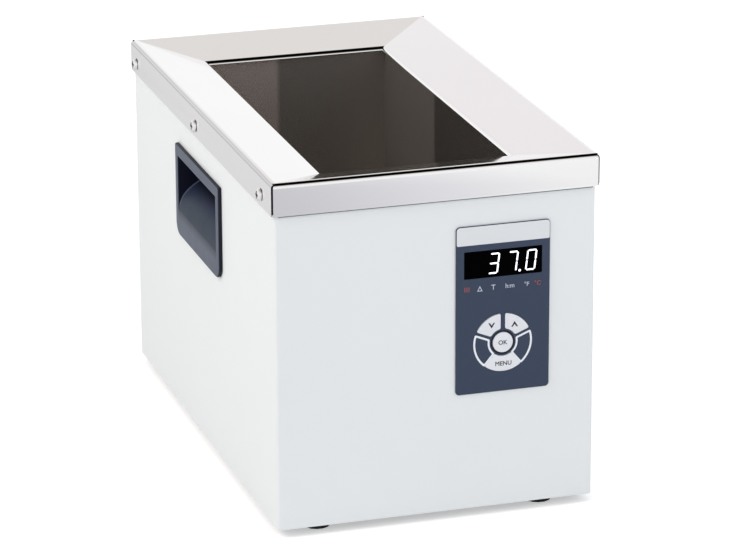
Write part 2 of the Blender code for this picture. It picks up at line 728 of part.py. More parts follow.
def make_rim_screws():
    """Pan-headed screws with a cross recess, through the flange and the casing."""
    for side, name in ((-1, "left"), (1, "right")):
        for y, place in zip(rim_screw_places(), ("front", "middle", "rear")):
            face = SIDE + RIM_OVERHANG + GAP
            crown = face + RIM_SCREW_HEAD_HEIGHT
            shoulder, top = (RIM_SCREW_HEAD_RADIUS * share for share in RIM_SCREW_CROWN_SHARES)
            profile = [
                (side * (crown - RIM_SCREW_LENGTH), RIM_SCREW_RADIUS),
                (side * face, RIM_SCREW_RADIUS),
                (side * face, RIM_SCREW_HEAD_RADIUS),
                (side * (face + RIM_SCREW_HEAD_HEIGHT / 2), shoulder),
                (side * crown, top),
            ]
            middle = (y, RIM_TOP - RIM_SCREW_DROP)
            shape = turned(profile, "X", middle, SMALL_ROUND_SIDES)
            screw = add_object(f"rim_screw_{name}_{place}", shape, "stainless")
            cross = cross_outline(RIM_SCREW_RECESS_REACH, RIM_SCREW_RECESS_WIDTH / 2, middle)
            recess = prism(cross, "X", side * (crown - RIM_SCREW_RECESS), side * (crown + OVERRUN))
            cut(screw, f"{screw.name}_recess", recess)


def corner_places(reach_x, reach_y):
    """The four corners of a rectangle round the origin, with a name for each."""
    names = {(-1, -1): "front_left", (1, -1): "front_right", (1, 1): "rear_right", (-1, 1): "rear_left"}
    return [(name, sx * reach_x, sy * reach_y) for (sx, sy), name in names.items()]


def foot_places():
    return corner_places(SIDE - FOOT_FROM_SIDE, REAR - FOOT_FROM_END)


def make_feet():
    """Rubber feet with a sunk well, each under its screw's head."""
    top = CASING_BOTTOM - GAP
    profile = [
        (0, FOOT_WELL_RADIUS),
        (0, FOOT_RADIUS),
        (top, FOOT_TOP_RADIUS),
        (top, FOOT_BORE_RADIUS),
        (FOOT_WELL_DEPTH, FOOT_BORE_RADIUS),
        (FOOT_WELL_DEPTH, FOOT_WELL_RADIUS),
    ]
    head = FOOT_WELL_DEPTH - GAP
    screw = [
        (head - FOOT_SCREW_HEAD_HEIGHT, FOOT_SCREW_HEAD_RADIUS),
        (head, FOOT_SCREW_HEAD_RADIUS),
        (head, FOOT_SCREW_RADIUS),
        (head + FOOT_SCREW_LENGTH, FOOT_SCREW_RADIUS),
    ]
    for name, x, y in foot_places():
        bm = bmesh.new()
        rings = []
        for level, radius in profile:
            ring = lifted(circle(radius, (x, y), SMALL_ROUND_SIDES), "Z", level)
            rings.append([bm.verts.new(point) for point in ring])
        stitch(bm, rings, closed=True)
        add_object(f"foot_{name}", bm, "rubber")
        add_object(f"foot_screw_{name}", turned(screw, "Z", (x, y), SMALL_ROUND_SIDES), "zinc")


def make_tank():
    """Open steel box with a flange outwards under the funnel, and four studs under its floor."""
    inside = (TANK_INNER_WIDTH, TANK_INNER_LENGTH)
    levels = (TANK_FLOOR, TANK_TOP)
    shell = open_tray(inside, levels, TANK_SHEET, TANK_CORNER, TANK_FLOOR_BEND, TANK_FLANGE)
    tank = add_object("tank", shell, "dark_stainless")
    studs = bmesh.new()
    for _, x, y in stud_places():
        outline = circle(TANK_STUD_RADIUS, (x, y), SMALL_ROUND_SIDES)
        prism(outline, "Z", TANK_UNDERSIDE - TANK_STUD_LENGTH, TANK_UNDERSIDE + TANK_SHEET / 2, studs)
    return fuse(tank, "tank_studs", studs)


def stud_places():
    return corner_places(HEATER_WIDTH / 2 - STUD_FROM_MAT_SIDE, HEATER_LENGTH / 2 - STUD_FROM_MAT_END)


def stud_holes():
    """Cutter for the studs' holes in the mat and the plate."""
    bm = bmesh.new()
    for _, x, y in stud_places():
        outline = circle(TANK_STUD_RADIUS + STUD_HOLE_CLEARANCE, (x, y), SMALL_ROUND_SIDES)
        prism(outline, "Z", CLAMP_UNDERSIDE - OVERRUN, TANK_UNDERSIDE, bm)
    return bm


def make_rails():
    """Angle rails along the casing's sides, each under the tank's flange."""
    top = RAIL_TOP
    wall = SIDE - CASING_SHEET - GAP
    edge = TANK_INNER_WIDTH / 2 + TANK_SHEET + TANK_FLANGE - RAIL_LAP
    reach = REAR - RAIL_END_CLEARANCE
    right = [(edge, top), (wall, top), (wall, top - RAIL_DROP)]
    left = [(-x, z) for x, z in reversed(right)]
    for name, path in (("left", left), ("right", right)):
        section = folded_section(path, RAIL_BEND, RAIL_SHEET)
        add_object(f"tank_rail_{name}", prism(section, "Y", -reach, reach), "zinc")


def make_foam():
    """Foam sleeve round the tank's walls."""
    low = TANK_FLOOR + FOAM_RISE
    high = RAIL_TOP - RAIL_SHEET - FOAM_TOP_CLEARANCE
    inner = TANK_SHEET + FOAM_CLEARANCE
    bm = bmesh.new()
    rings = []
    for growth, level in (
        (inner, low),
        (inner + FOAM_THICKNESS, low),
        (inner + FOAM_THICKNESS, high),
        (inner, high),
    ):
        size = (TANK_INNER_WIDTH + 2 * growth, TANK_INNER_LENGTH + 2 * growth)
        outline = rounded_rectangle(*size, TANK_CORNER + growth)
        rings.append([bm.verts.new(point) for point in lifted(outline, "Z", level)])
    stitch(bm, rings, closed=True)
    add_object("insulation_jacket", bm, "foam")


def make_heating():
    """Heater mat under the tank's floor, its clamp plate with folded edges and the four nuts."""
    outline = rounded_rectangle(HEATER_WIDTH, HEATER_LENGTH, HEATER_CORNER)
    pad = prism(outline, "Z", CLAMP_TOP + GAP, TANK_UNDERSIDE - GAP)
    mat = add_object("heater_mat", pad, "silicone")
    cut(mat, "mat_stud_holes", stud_holes())
    half = HEATER_WIDTH / 2 + CLAMP_MARGIN
    low = CLAMP_TOP - CLAMP_RIM_HEIGHT
    path = [(-half, low), (-half, CLAMP_TOP), (half, CLAMP_TOP), (half, low)]
    section = folded_section(path, CLAMP_BEND, CLAMP_SHEET)
    reach = HEATER_LENGTH / 2 + CLAMP_MARGIN
    plate = add_object("heater_clamp_plate", prism(section, "Y", -reach, reach), "aluminium")
    cut(plate, "plate_stud_holes", stud_holes())
    for name, x, y in stud_places():
        bm = bmesh.new()
        rings = []
        top = CLAMP_UNDERSIDE - GAP
        low = top - NUT_HEIGHT
        bore = TANK_STUD_RADIUS + GAP
        for level, radius in ((top, bore), (top, NUT_RADIUS), (low, NUT_RADIUS), (low, bore)):
            outline = circle(radius, (x, y), NUT_SIDES * 2)
            rings.append([bm.verts.new(point) for point in lifted(outline, "Z", level)])
        for ring in rings[1:3]:
            flatten_nut(ring, Vector((x, y)))
        stitch(bm, rings, closed=True)
        add_object(f"clamp_nut_{name}", bm, "zinc")


def flatten_nut(ring, middle):
    """Draws every second vertex of a ring in to the middle of a hexagon's flat."""
    share = math.cos(math.pi / NUT_SIDES)
    for vertex in ring[1::2]:
        vertex.co.xy = middle + (vertex.co.xy - middle) * share


def make_sensor():
    """Temperature sensor across the tank's rear wall, with the strap that holds it there."""
    wall = TANK_INNER_LENGTH / 2 + TANK_SHEET
    middle = (wall + GAP + SENSOR_RADIUS, TANK_FLOOR + SENSOR_RISE)
    half = SENSOR_LENGTH / 2
    profile = [
        (-half, SENSOR_RADIUS - SENSOR_TIP),
        (-half + SENSOR_TIP, SENSOR_RADIUS),
        (half, SENSOR_RADIUS),
    ]
    add_object("temperature_sensor", turned(profile, "X", middle, SMALL_ROUND_SIDES), "stainless")
    back = wall + GAP
    front = back + CLIP_SHEET
    inner = SENSOR_RADIUS + GAP
    outer = inner + CLIP_SHEET
    low, high = middle[1] - outer - CLIP_FOOT, middle[1] + outer + CLIP_FOOT
    strap = [(back, low), (front, low), (front, middle[1] - outer)]
    strap += arc(middle, outer, -90, 90, SECTOR_STEPS)
    strap += [(front, middle[1] + outer), (front, high), (back, high), (back, middle[1] + inner)]
    strap += arc(middle, inner, 90, -90, SECTOR_STEPS)
    strap.append((back, middle[1] - inner))
    add_object("sensor_clip", prism(strap, "X", -CLIP_WIDTH / 2, CLIP_WIDTH / 2), "stainless")


def make_cutout():
    """Over-temperature cut-out: a round switch with two blade tabs."""
    top = CLAMP_UNDERSIDE - GAP
    seat = top - CUTOUT_FLANGE_HEIGHT
    base = top - CUTOUT_HEIGHT
    profile = [
        (top, CUTOUT_FLANGE_RADIUS),
        (seat, CUTOUT_FLANGE_RADIUS),
        (seat, CUTOUT_RADIUS),
        (base, CUTOUT_RADIUS),
    ]
    cutout = add_object("overtemperature_cutout", turned(profile, "Z", (0, CUTOUT_Y)), "black_plastic")
    tabs = bmesh.new()
    for side in (-1, 1):
        middle = (side * CUTOUT_TAB_FROM_MIDDLE, CUTOUT_Y, base - CUTOUT_TAB_LENGTH / 2)
        block(CUTOUT_TAB_THICKNESS, CUTOUT_TAB_WIDTH, CUTOUT_TAB_LENGTH + OVERRUN, middle, tabs)
    return fuse(cutout, "cutout_tabs", tabs)


def make_base_tray():
    """Floor of the casing with its edges turned up, vents, holes for the feet and standoffs."""
    width = CASING_WIDTH - 2 * (CASING_SHEET + GAP + TRAY_SHEET)
    front = FRONT + CASING_SHEET + GAP + TRAY_SHEET
    back = REAR_PANEL_FACE - REAR_SHEET - GAP - TRAY_SHEET
    levels = (TRAY_FLOOR, TRAY_FLOOR + TRAY_FLANGE_HEIGHT)
    middle_y = (front + back) / 2
    inside = (width, back - front)
    shell = open_tray(inside, levels, TRAY_SHEET, TRAY_CORNER, TRAY_BEND, middle_y=middle_y)
    tray = add_object("base_tray", shell, "zinc")
    holes = bmesh.new()
    for _, x, y in foot_places():
        outline = circle(FOOT_BORE_RADIUS, (x, y), SMALL_ROUND_SIDES)
        prism(outline, "Z", CASING_BOTTOM - OVERRUN, TRAY_FLOOR + OVERRUN, holes)
    for i in range(VENT_COUNT):
        y = FRONT + VENT_FROM_FRONT + (i - (VENT_COUNT - 1) / 2) * VENT_PITCH
        outline = slot_outline(VENT_LENGTH, VENT_WIDTH, (VENT_FROM_SIDE - SIDE, y))
        prism(outline, "Z", CASING_BOTTOM - OVERRUN, TRAY_FLOOR + OVERRUN, holes)
    cut(tray, "tray_holes", holes)
    posts = bmesh.new()
    low = TRAY_FLOOR - TRAY_SHEET / 2
    for middle in standoff_places():
        outline = circle(STANDOFF_RADIUS, middle, SMALL_ROUND_SIDES)
        prism(outline, "Z", low, TRAY_FLOOR + STANDOFF_HEIGHT, posts)
    return fuse(tray, "tray_standoffs", posts)


def standoff_places():
    reach_x = POWER_BOARD_WIDTH / 2 - POWER_BOARD_MARGIN
    reach_y = POWER_BOARD_LENGTH / 2 - POWER_BOARD_MARGIN
    return [(POWER_BOARD_X + x, POWER_BOARD_Y + y) for _, x, y in corner_places(reach_x, reach_y)]


def make_rear_panel():
    """Flat back inside the casing's flanges, with the inlet's opening and a block of vents."""
    width = 2 * (SIDE - CASING_BEND)
    height = RIM_TOP - CASING_TOP_DROP - CASING_BOTTOM
    outline = rectangle(width, height, (0, CASING_BOTTOM + height / 2))
    sheet = prism(outline, "Y", REAR_PANEL_FACE - REAR_SHEET, REAR_PANEL_FACE)
    panel = add_object("rear_panel", sheet, "powder_coat")
    holes = bmesh.new()
    clear = 2 * INLET_CUT_CLEARANCE
    size = (INLET_WIDTH + clear, INLET_HEIGHT + clear)
    opening = rounded_rectangle(*size, INLET_CORNER, (INLET_X, INLET_Z))
    span = (REAR_PANEL_FACE - REAR_SHEET - OVERRUN, REAR_PANEL_FACE + OVERRUN)
    prism(opening, "Y", *span, holes)
    for i in range(REAR_VENT_COUNT):
        rise = REAR_VENT_RISE + (i - (REAR_VENT_COUNT - 1) / 2) * VENT_PITCH
        middle = (REAR_VENT_FROM_SIDE - SIDE, CASING_BOTTOM + rise)
        outline = slot_outline(VENT_LENGTH, VENT_WIDTH, middle)
        prism(outline, "Y", *span, holes)
    return cut(panel, "rear_panel_holes", holes)


def make_grips():
    """Moulded grips: a border on the casing and a scooped cup behind it."""
    front, back, _, _ = grip_pocket_bounds()
    ends = (front - GRIP_DEPTH, back + GRIP_DEPTH)
    for side, name in ((-1, "left"), (1, "right")):
        face = SIDE + GRIP_PROUD
        border = bevelled_prism(grip_outline(), "X", side * (SIDE + GAP), side * face, GRIP_EDGE_BEVEL)
        grip = add_object(f"grip_{name}", border, "slate_plastic")
        for section, wall, operation in (
            (grip_cup_section(), 0, "UNION"),
            (grip_pocket_section(), -GRIP_WALL, "DIFFERENCE"),
        ):
            points = [(side * (face - depth), z) for depth, z in section]
            shape = add_helper(f"grip_{name}_{operation}", prism(points, "Y", *ends))
            reach = (side * (face + GRIP_DEPTH), side * (face - GRIP_DEPTH - OVERRUN))
            edges = prism(grip_cup_outline(wall), "X", *reach)
            combine(shape, add_helper(f"{shape.name}_edges", edges), "INTERSECT")
            combine(grip, shape, operation)


def panel_middle():
    return (PANEL_MIDDLE_X, PANEL_TOP - PANEL_HEIGHT / 2)


def panel_box(growth):
    """Outline of the housing's box, grown from the casing's opening."""
    width = PANEL_WIDTH - 2 * PANEL_LAP + 2 * growth
    height = PANEL_HEIGHT - 2 * PANEL_LAP + 2 * growth
    return rounded_rectangle(width, height, PANEL_CORNER + growth, panel_middle())


def window_outline(growth):
    middle = (PANEL_MIDDLE_X, PANEL_TOP - WINDOW_DROP - WINDOW_HEIGHT / 2)
    size = (WINDOW_WIDTH + 2 * growth, WINDOW_HEIGHT + 2 * growth)
    return rounded_rectangle(*size, WINDOW_CORNER, middle)


def header_outline(growth):
    """The pale strip along the panel's upper edge."""
    width = PANEL_WIDTH - 2 * HEADER_MARGIN + 2 * growth
    height = HEADER_HEIGHT - HEADER_MARGIN + 2 * growth
    middle = (PANEL_MIDDLE_X, PANEL_TOP - (HEADER_HEIGHT + HEADER_MARGIN) / 2)
    upper = PANEL_CORNER - HEADER_MARGIN + growth
    return rounded_rectangle(width, height, (WINDOW_CORNER, WINDOW_CORNER, upper, upper), middle)


def make_panel():
    """Key panel: a border plate with a box behind it, cut for the window, the keys and the strip."""
    outline = rounded_rectangle(PANEL_WIDTH, PANEL_HEIGHT, PANEL_CORNER, panel_middle())
    plate = prism(outline, "Y", FRONT - GAP, PANEL_FACE)
    housing = add_object("panel_housing", plate, "slate_plastic")
    back = PANEL_FACE + PANEL_DEPTH
    fuse(housing, "panel_box", prism(panel_box(-GAP), "Y", PANEL_FACE + PANEL_PROUD / 2, back))
    cut(housing, "panel_hollow", prism(panel_box(-GAP - PANEL_WALL), "Y", PANEL_BACK, back + OVERRUN))
    holes = prism(window_outline(0), "Y", PANEL_FACE - OVERRUN, PANEL_BACK + OVERRUN)
    for _, key_outline, _ in key_list():
        prism(key_outline(0), "Y", PANEL_FACE - OVERRUN, PANEL_BACK + OVERRUN, holes)
    cut(housing, "panel_openings", holes)
    recess = prism(header_outline(GAP), "Y", PANEL_FACE - OVERRUN, PANEL_FACE + HEADER_THICKNESS + GAP)
    cut(housing, "header_recess", recess)
    posts = bmesh.new()
    for x, z in post_places():
        outline = circle(PANEL_POST_RADIUS, (x, z), SMALL_ROUND_SIDES)
        prism(outline, "Y", PANEL_BACK - PANEL_PLATE / 2, BOARD_FACE - GAP, posts)
    fuse(housing, "panel_posts", posts)
    strip = prism(header_outline(0), "Y", PANEL_FACE, PANEL_FACE + HEADER_THICKNESS)
    add_object("header_strip", strip, "pale_print")
    window = prism(window_outline(-GAP), "Y", PANEL_FACE + WINDOW_RECESS, PANEL_BACK)
    add_object("display_window", window, "smoked_window")
    middle = (PANEL_MIDDLE_X, PANEL_TOP - WINDOW_DROP - WINDOW_HEIGHT / 2)
    face = rectangle(DISPLAY_WIDTH, DISPLAY_HEIGHT, middle)
    add_object("display_module", prism(face, "Y", PANEL_BACK + GAP, BOARD_FACE - GAP), "black_plastic")


def post_places():
    """Middles of the four posts in the housing's corners."""
    x, z = panel_middle()
    inset = PANEL_LAP + GAP + PANEL_WALL + PANEL_POST_RADIUS + PANEL_CORNER / 2
    corners = corner_places(PANEL_WIDTH / 2 - inset, PANEL_HEIGHT / 2 - inset)
    return [(x + dx, z + dz) for _, dx, dz in corners]


def make_key_board():
    """Circuit board behind the panel with a switch under each key and a row of lamps."""
    shrink = -GAP - PANEL_WALL - BOARD_CLEARANCE
    board = prism(panel_box(shrink), "Y", BOARD_FACE, BOARD_FACE + BOARD_THICKNESS)
    obj = add_object("key_board", board, "circuit_board")
    fitted = bmesh.new()
    for _, _, (x, z) in key_list():
        body = rectangle(SWITCH_SIDE, SWITCH_SIDE, (x, z))
        face = BOARD_FACE - SWITCH_HEIGHT
        prism(body, "Y", face, BOARD_FACE + BOARD_THICKNESS / 2, fitted)
    lamp_z = PANEL_TOP - LAMP_DROP
    for share in LAMP_PLACE_SHARES:
        lamp = rectangle(LAMP_SIDE, LAMP_SIDE, (PANEL_MIDDLE_X + share * PANEL_WIDTH, lamp_z))
        prism(lamp, "Y", BOARD_FACE - LAMP_HEIGHT, BOARD_FACE + BOARD_THICKNESS / 2, fitted)
    fuse(obj, "switches_and_lamps", fitted)
    plungers = bmesh.new()
    for _, _, middle in key_list():
        outline = circle(SWITCH_PLUNGER_RADIUS, middle, SMALL_ROUND_SIDES)
        prism(outline, "Y", SWITCH_FACE, BOARD_FACE - SWITCH_HEIGHT / 2, plungers)
    return fuse(obj, "plungers", plungers)


def sector_outline(start, end, start_offset, end_offset, growth):
    """Counter-clockwise outline of a piece of a ring round the keys' middle. Its straight edges run
    beside the rays at the start and end angles, each at its offset, and its corners are cut off."""
    inner, outer = KEY_INNER_RADIUS - growth, KEY_OUTER_RADIUS + growth

    def place(radius, at_start, along=0):
        """A point on a straight edge, or that far round the ring from it."""
        offset = (start_offset if at_start else end_offset) - growth
        turn = math.asin(offset / radius) + along / radius
        angle = math.radians(start) + turn if at_start else math.radians(end) - turn
        x, z = PANEL_MIDDLE_X, KEY_MIDDLE_Z
        return (x + radius * math.cos(angle), z + radius * math.sin(angle)), math.degrees(angle)

    middle = (PANEL_MIDDLE_X, KEY_MIDDLE_Z)
    points = [place(inner + KEY_CORNER, True)[0], place(outer - KEY_CORNER, True)[0]]
    angles = [place(outer, at_start, KEY_CORNER)[1] for at_start in (True, False)]
    points += arc(middle, outer, *angles, SECTOR_STEPS)
    points += [place(outer - KEY_CORNER, False)[0], place(inner + KEY_CORNER, False)[0]]
    angles = [place(inner, at_start, KEY_CORNER)[1] for at_start in (False, True)]
    return points + arc(middle, inner, *angles, SECTOR_STEPS)


def key_list():
    """Name, outline function and switch place of every key."""
    middle = (PANEL_MIDDLE_X, KEY_MIDDLE_Z)
    ring = (KEY_INNER_RADIUS + KEY_OUTER_RADIUS) / 2
    menu = (-90 - KEY_MENU_HALF_ANGLE, -90 + KEY_MENU_HALF_ANGLE, 0, 0)
    sectors = {
        "key_up": (KEY_UPPER_START, 90, KEY_GAP / 2, KEY_SPLIT / 2),
        "key_down": (90, 180 - KEY_UPPER_START, KEY_SPLIT / 2, KEY_GAP / 2),
        "key_menu": menu,
    }
    keys = [("key_ok", lambda growth: circle(KEY_ROUND_RADIUS + growth, middle), middle)]
    for name, edges in sectors.items():
        place = arc(middle, ring, (edges[0] + edges[1]) / 2, 0, 1)[0]
        keys.append((name, lambda growth, edges=edges: sector_outline(*edges, growth), place))
    return keys


def make_keys():
    """Key caps, each with a lip behind the panel's plate and a bevelled face in front of it."""
    face = PANEL_FACE - KEY_PROUD
    for name, outline, _ in key_list():
        cap = -KEY_CLEARANCE
        rings = [
            (KEY_BACK, KEY_LIP),
            (KEY_LIP_FACE, KEY_LIP),
            (KEY_LIP_FACE, cap),
            (face + KEY_BEVEL, cap),
            (face, cap - KEY_BEVEL),
        ]
        bm = loft([lifted(outline(growth), "Y", level) for level, growth in rings])
        add_object(name, bm, "pale_print")


def inlet_outline(width, height, rise, corner, steps=CORNER_STEPS):
    """Outline on the inlet's face, with its middle a rise over the inlet's lower end."""
    return rounded_rectangle(width, height, corner, (INLET_X, INLET_BOTTOM + rise), steps)


def make_inlet():
    """Mains inlet: a flanged block with a socket, a drawer's slot and a rocker's well."""
    back = INLET_FACE - INLET_DEPTH
    seat = INLET_FACE - INLET_FLANGE_THICKNESS
    middle_rise = INLET_HEIGHT / 2
    rings = []
    for level, growth in (
        (back, 0),
        (seat, 0),
        (seat, INLET_FLANGE_LAP),
        (INLET_FACE - INLET_BEVEL, INLET_FLANGE_LAP),
        (INLET_FACE, INLET_FLANGE_LAP - INLET_BEVEL),
    ):
        size = (INLET_WIDTH + 2 * growth, INLET_HEIGHT + 2 * growth)
        outline = inlet_outline(*size, middle_rise, INLET_CORNER)
        rings.append(lifted(outline, "Y", level))
    inlet = add_object("mains_inlet", loft(rings), "black_plastic")
    holes = bmesh.new()
    corners = (SOCKET_LOWER_CORNER, SOCKET_LOWER_CORNER, SOCKET_CORNER, SOCKET_CORNER)
    socket = inlet_outline(SOCKET_WIDTH, SOCKET_HEIGHT, SOCKET_RISE, corners, 1)
    prism(socket, "Y", INLET_FACE - SOCKET_DEPTH, INLET_FACE + OVERRUN, holes)
    clear = 2 * DRAWER_CLEARANCE
    slot = rectangle(DRAWER_WIDTH + clear, DRAWER_HEIGHT + clear, (INLET_X, INLET_BOTTOM + DRAWER_RISE))
    prism(slot, "Y", INLET_FACE - DRAWER_DEPTH - DRAWER_CLEARANCE, INLET_FACE + OVERRUN, holes)
    reach = 2 * (rocker_reach() + ROCKER_CLEARANCE)
    well = rectangle(ROCKER_WIDTH + 2 * ROCKER_CLEARANCE, reach, (INLET_X, INLET_BOTTOM + ROCKER_RISE))
    prism(well, "Y", INLET_FACE - ROCKER_WELL_DEPTH, INLET_FACE + OVERRUN, holes)
    cut(inlet, "inlet_hollows", holes)
    slots = bmesh.new()
    for _, x, z in pin_places():
        outline = rectangle(PIN_THICKNESS + 2 * GAP, PIN_WIDTH + 2 * GAP, (x, z))
        prism(outline, "Y", back - OVERRUN, INLET_FACE - SOCKET_DEPTH + OVERRUN, slots)
    return cut(inlet, "pin_slots", slots)


def pin_places():
    """Name and middle in X and Z of the socket's three blades."""
    z = INLET_BOTTOM + SOCKET_RISE
    return [
        ("line", INLET_X - PIN_SPACING, z - PIN_OFFSET),
        ("earth", INLET_X, z + PIN_OFFSET),
        ("neutral", INLET_X + PIN_SPACING, z - PIN_OFFSET),
    ]


def make_pins():
    """Flat blades with bevelled tips, which reach out of the block's back as tails."""
    tip = INLET_FACE - PIN_RECESS
    tail = INLET_FACE - INLET_DEPTH - PIN_TAIL
    for name, x, z in pin_places():
        outline = rectangle(PIN_THICKNESS, PIN_WIDTH, (x, z))
        add_object(f"pin_{name}", bevelled_prism(outline, "Y", tail, tip, PIN_BEVEL), "brass")


def make_fuse_drawer():
    """Drawer with two troughs across it, a front lip with a finger notch, and its two fuses."""
    z = INLET_BOTTOM + DRAWER_RISE
    body = rectangle(DRAWER_WIDTH, DRAWER_HEIGHT, (INLET_X, z))
    lip = rectangle(DRAWER_WIDTH + 2 * DRAWER_LAP, DRAWER_HEIGHT + 2 * DRAWER_LAP, (INLET_X, z))
    seat = INLET_FACE + GAP
    rings = [(INLET_FACE - DRAWER_DEPTH, body), (seat, body), (seat, lip), (seat + DRAWER_LIP, lip)]
    shape = loft([lifted(outline, "Y", level) for level, outline in rings])
    drawer = add_object("fuse_drawer", shape, "black_plastic")
    middle = (seat + DRAWER_LIP, z - DRAWER_HEIGHT / 2 - DRAWER_LAP)
    outline = circle(DRAWER_NOTCH_RADIUS, middle, SMALL_ROUND_SIDES)
    half = DRAWER_NOTCH_WIDTH / 2
    cut(drawer, "drawer_notch", prism(outline, "X", INLET_X - half, INLET_X + half))
    trough = FUSE_RADIUS + FUSE_SIDE_CLEARANCE
    half = FUSE_LENGTH / 2
    reach = half + FUSE_SIDE_CLEARANCE
    troughs = bmesh.new()
    for name, y in fuse_places():
        outline = arc((y, z), trough, 180, 360, SECTOR_STEPS)
        top = z + DRAWER_HEIGHT / 2 + OVERRUN
        outline += [(y + trough, top), (y - trough, top)]
        prism(outline, "X", INLET_X - reach, INLET_X + reach, troughs)
        profile = [(INLET_X - half, FUSE_RADIUS), (INLET_X + half, FUSE_RADIUS)]
        add_object(f"fuse_{name}", turned(profile, "X", (y, z), SMALL_ROUND_SIDES), "fuse_glass")
    return cut(drawer, "drawer_troughs", troughs)


def fuse_places():
    """Name and Y of the fuses' axes, spread about the middle of the drawer's depth."""
    middle = INLET_FACE - DRAWER_DEPTH / 2
    return [("inner", middle - FUSE_PITCH / 2), ("outer", middle + FUSE_PITCH / 2)]


def rocker_reach():
    """How far the rocker's upper corner swings out along the well from the pivot."""
    corner = Vector((ROCKER_LENGTH / 2, ROCKER_PIVOT_DEPTH + ROCKER_VALLEY))
    lift = math.atan2(corner.y, corner.x) - math.radians(ROCKER_ANGLE)
    return corner.length * math.cos(lift)


def make_rocker():
    """Power rocker with a shallow valley, pressed down at its lower end. Its origin is its pivot."""
    half = ROCKER_LENGTH / 2
    face = ROCKER_PIVOT_DEPTH + ROCKER_VALLEY
    outline = [
        (0, -half + ROCKER_TAPER),
        (face, -half),
        (ROCKER_PIVOT_DEPTH, 0),
        (face, half),
        (0, half - ROCKER_TAPER),
        (-ROCKER_KEEL, ROCKER_KEEL_WIDTH / 2),
        (-ROCKER_KEEL, -ROCKER_KEEL_WIDTH / 2),
    ]
    shape = prism(outline, "X", -ROCKER_WIDTH / 2, ROCKER_WIDTH / 2)
    rocker = add_object("power_rocker", shape, "black_plastic")
    pivot_y = INLET_FACE - ROCKER_SINK - ROCKER_PIVOT_DEPTH
    rocker.location = (INLET_X, pivot_y, INLET_BOTTOM + ROCKER_RISE)
    rocker.rotation_euler.x = math.radians(-ROCKER_ANGLE)
    return rocker


def make_power_board():
    """Power board on the tray's standoffs, with a transformer, a heat sink and a triac on it."""
    seat = TRAY_FLOOR + STANDOFF_HEIGHT + GAP
    middle = (POWER_BOARD_X, POWER_BOARD_Y, seat + BOARD_THICKNESS / 2)
    board = block(POWER_BOARD_WIDTH, POWER_BOARD_LENGTH, BOARD_THICKNESS, middle)
    add_object("power_board", board, "circuit_board")
    level = POWER_BOARD_TOP + GAP
    middle = (TRANSFORMER_X, POWER_BOARD_Y, level + TRANSFORMER_HEIGHT / 2)
    length = TRANSFORMER_LENGTH - 2 * TRANSFORMER_COIL_BULGE
    core = block(TRANSFORMER_WIDTH, length, TRANSFORMER_HEIGHT, middle)
    transformer = add_object("transformer", core, "lamination")
    size = (TRANSFORMER_COIL_WIDTH, TRANSFORMER_HEIGHT - 2 * TRANSFORMER_COIL_BULGE)
    coil = rounded_rectangle(*size, TRANSFORMER_COIL_BULGE, (TRANSFORMER_X, middle[2]))
    half = TRANSFORMER_LENGTH / 2
    fuse(transformer, "transformer_coil", prism(coil, "Y", POWER_BOARD_Y - half, POWER_BOARD_Y + half))
    back = HEAT_SINK_Y - HEAT_SINK_DEPTH / 2
    fins = heat_sink_outline(back)
    add_object("heat_sink", prism(fins, "Z", level, level + HEAT_SINK_HEIGHT), "aluminium")
    y = back - GAP - TRIAC_THICKNESS / 2
    middle = (HEAT_SINK_X, y, level + TRIAC_LEG_HEIGHT + TRIAC_HEIGHT / 2)
    body = block(TRIAC_WIDTH, TRIAC_THICKNESS, TRIAC_HEIGHT, middle)
    triac = add_object("triac", body, "black_plastic")
    legs = bmesh.new()
    height = TRIAC_LEG_HEIGHT + TRIAC_LEG
    for i in (-1, 0, 1):
        middle = (HEAT_SINK_X + i * TRIAC_LEG_PITCH, y, level + height / 2)
        block(TRIAC_LEG, TRIAC_LEG, height, middle, legs)
    return fuse(triac, "triac_legs", legs)


def heat_sink_outline(back):
    """Comb outline in X and Y: a base along the back and fins forwards from it."""
    left = HEAT_SINK_X - HEAT_SINK_WIDTH / 2
    pitch = (HEAT_SINK_WIDTH - FIN_THICKNESS) / (FIN_COUNT - 1)
    root, tip = back + HEAT_SINK_BASE, back + HEAT_SINK_DEPTH
    points = [(left, back), (left + HEAT_SINK_WIDTH, back)]
    for i in range(FIN_COUNT - 1, -1, -1):
        fin = left + i * pitch
        points += [(fin + FIN_THICKNESS, root), (fin + FIN_THICKNESS, tip), (fin, tip), (fin, root)]
    return [point for i, point in enumerate(points) if i not in (2, len(points) - 1)]


def build():
    for obj in list(bpy.data.objects):
        bpy.data.objects.remove(obj)
    make_casing()
    make_base_tray()
    make_rear_panel()
    make_feet()
    make_rim()
    make_rim_screws()
    make_rails()
    make_tank()
    make_foam()
    make_heating()
    make_sensor()
    make_cutout()
    make_grips()
    make_panel()
    make_key_board()
    make_keys()
    make_inlet()
    make_pins()
    make_fuse_drawer()
    make_rocker()
    make_power_board()


build()
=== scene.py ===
"""Finishes and fine surfaces of a laboratory water bath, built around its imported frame.

Every length is in metres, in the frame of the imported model: +Z up, the front faces -Y. Each
sub-assembly is a class that builds its meshes as numpy grids and dresses them with its finishes.
"""

from __future__ import annotations

import logging
from dataclasses import dataclass
from enum import Enum

import bmesh
import bpy
import numpy as np
from mathutils import Matrix, Vector

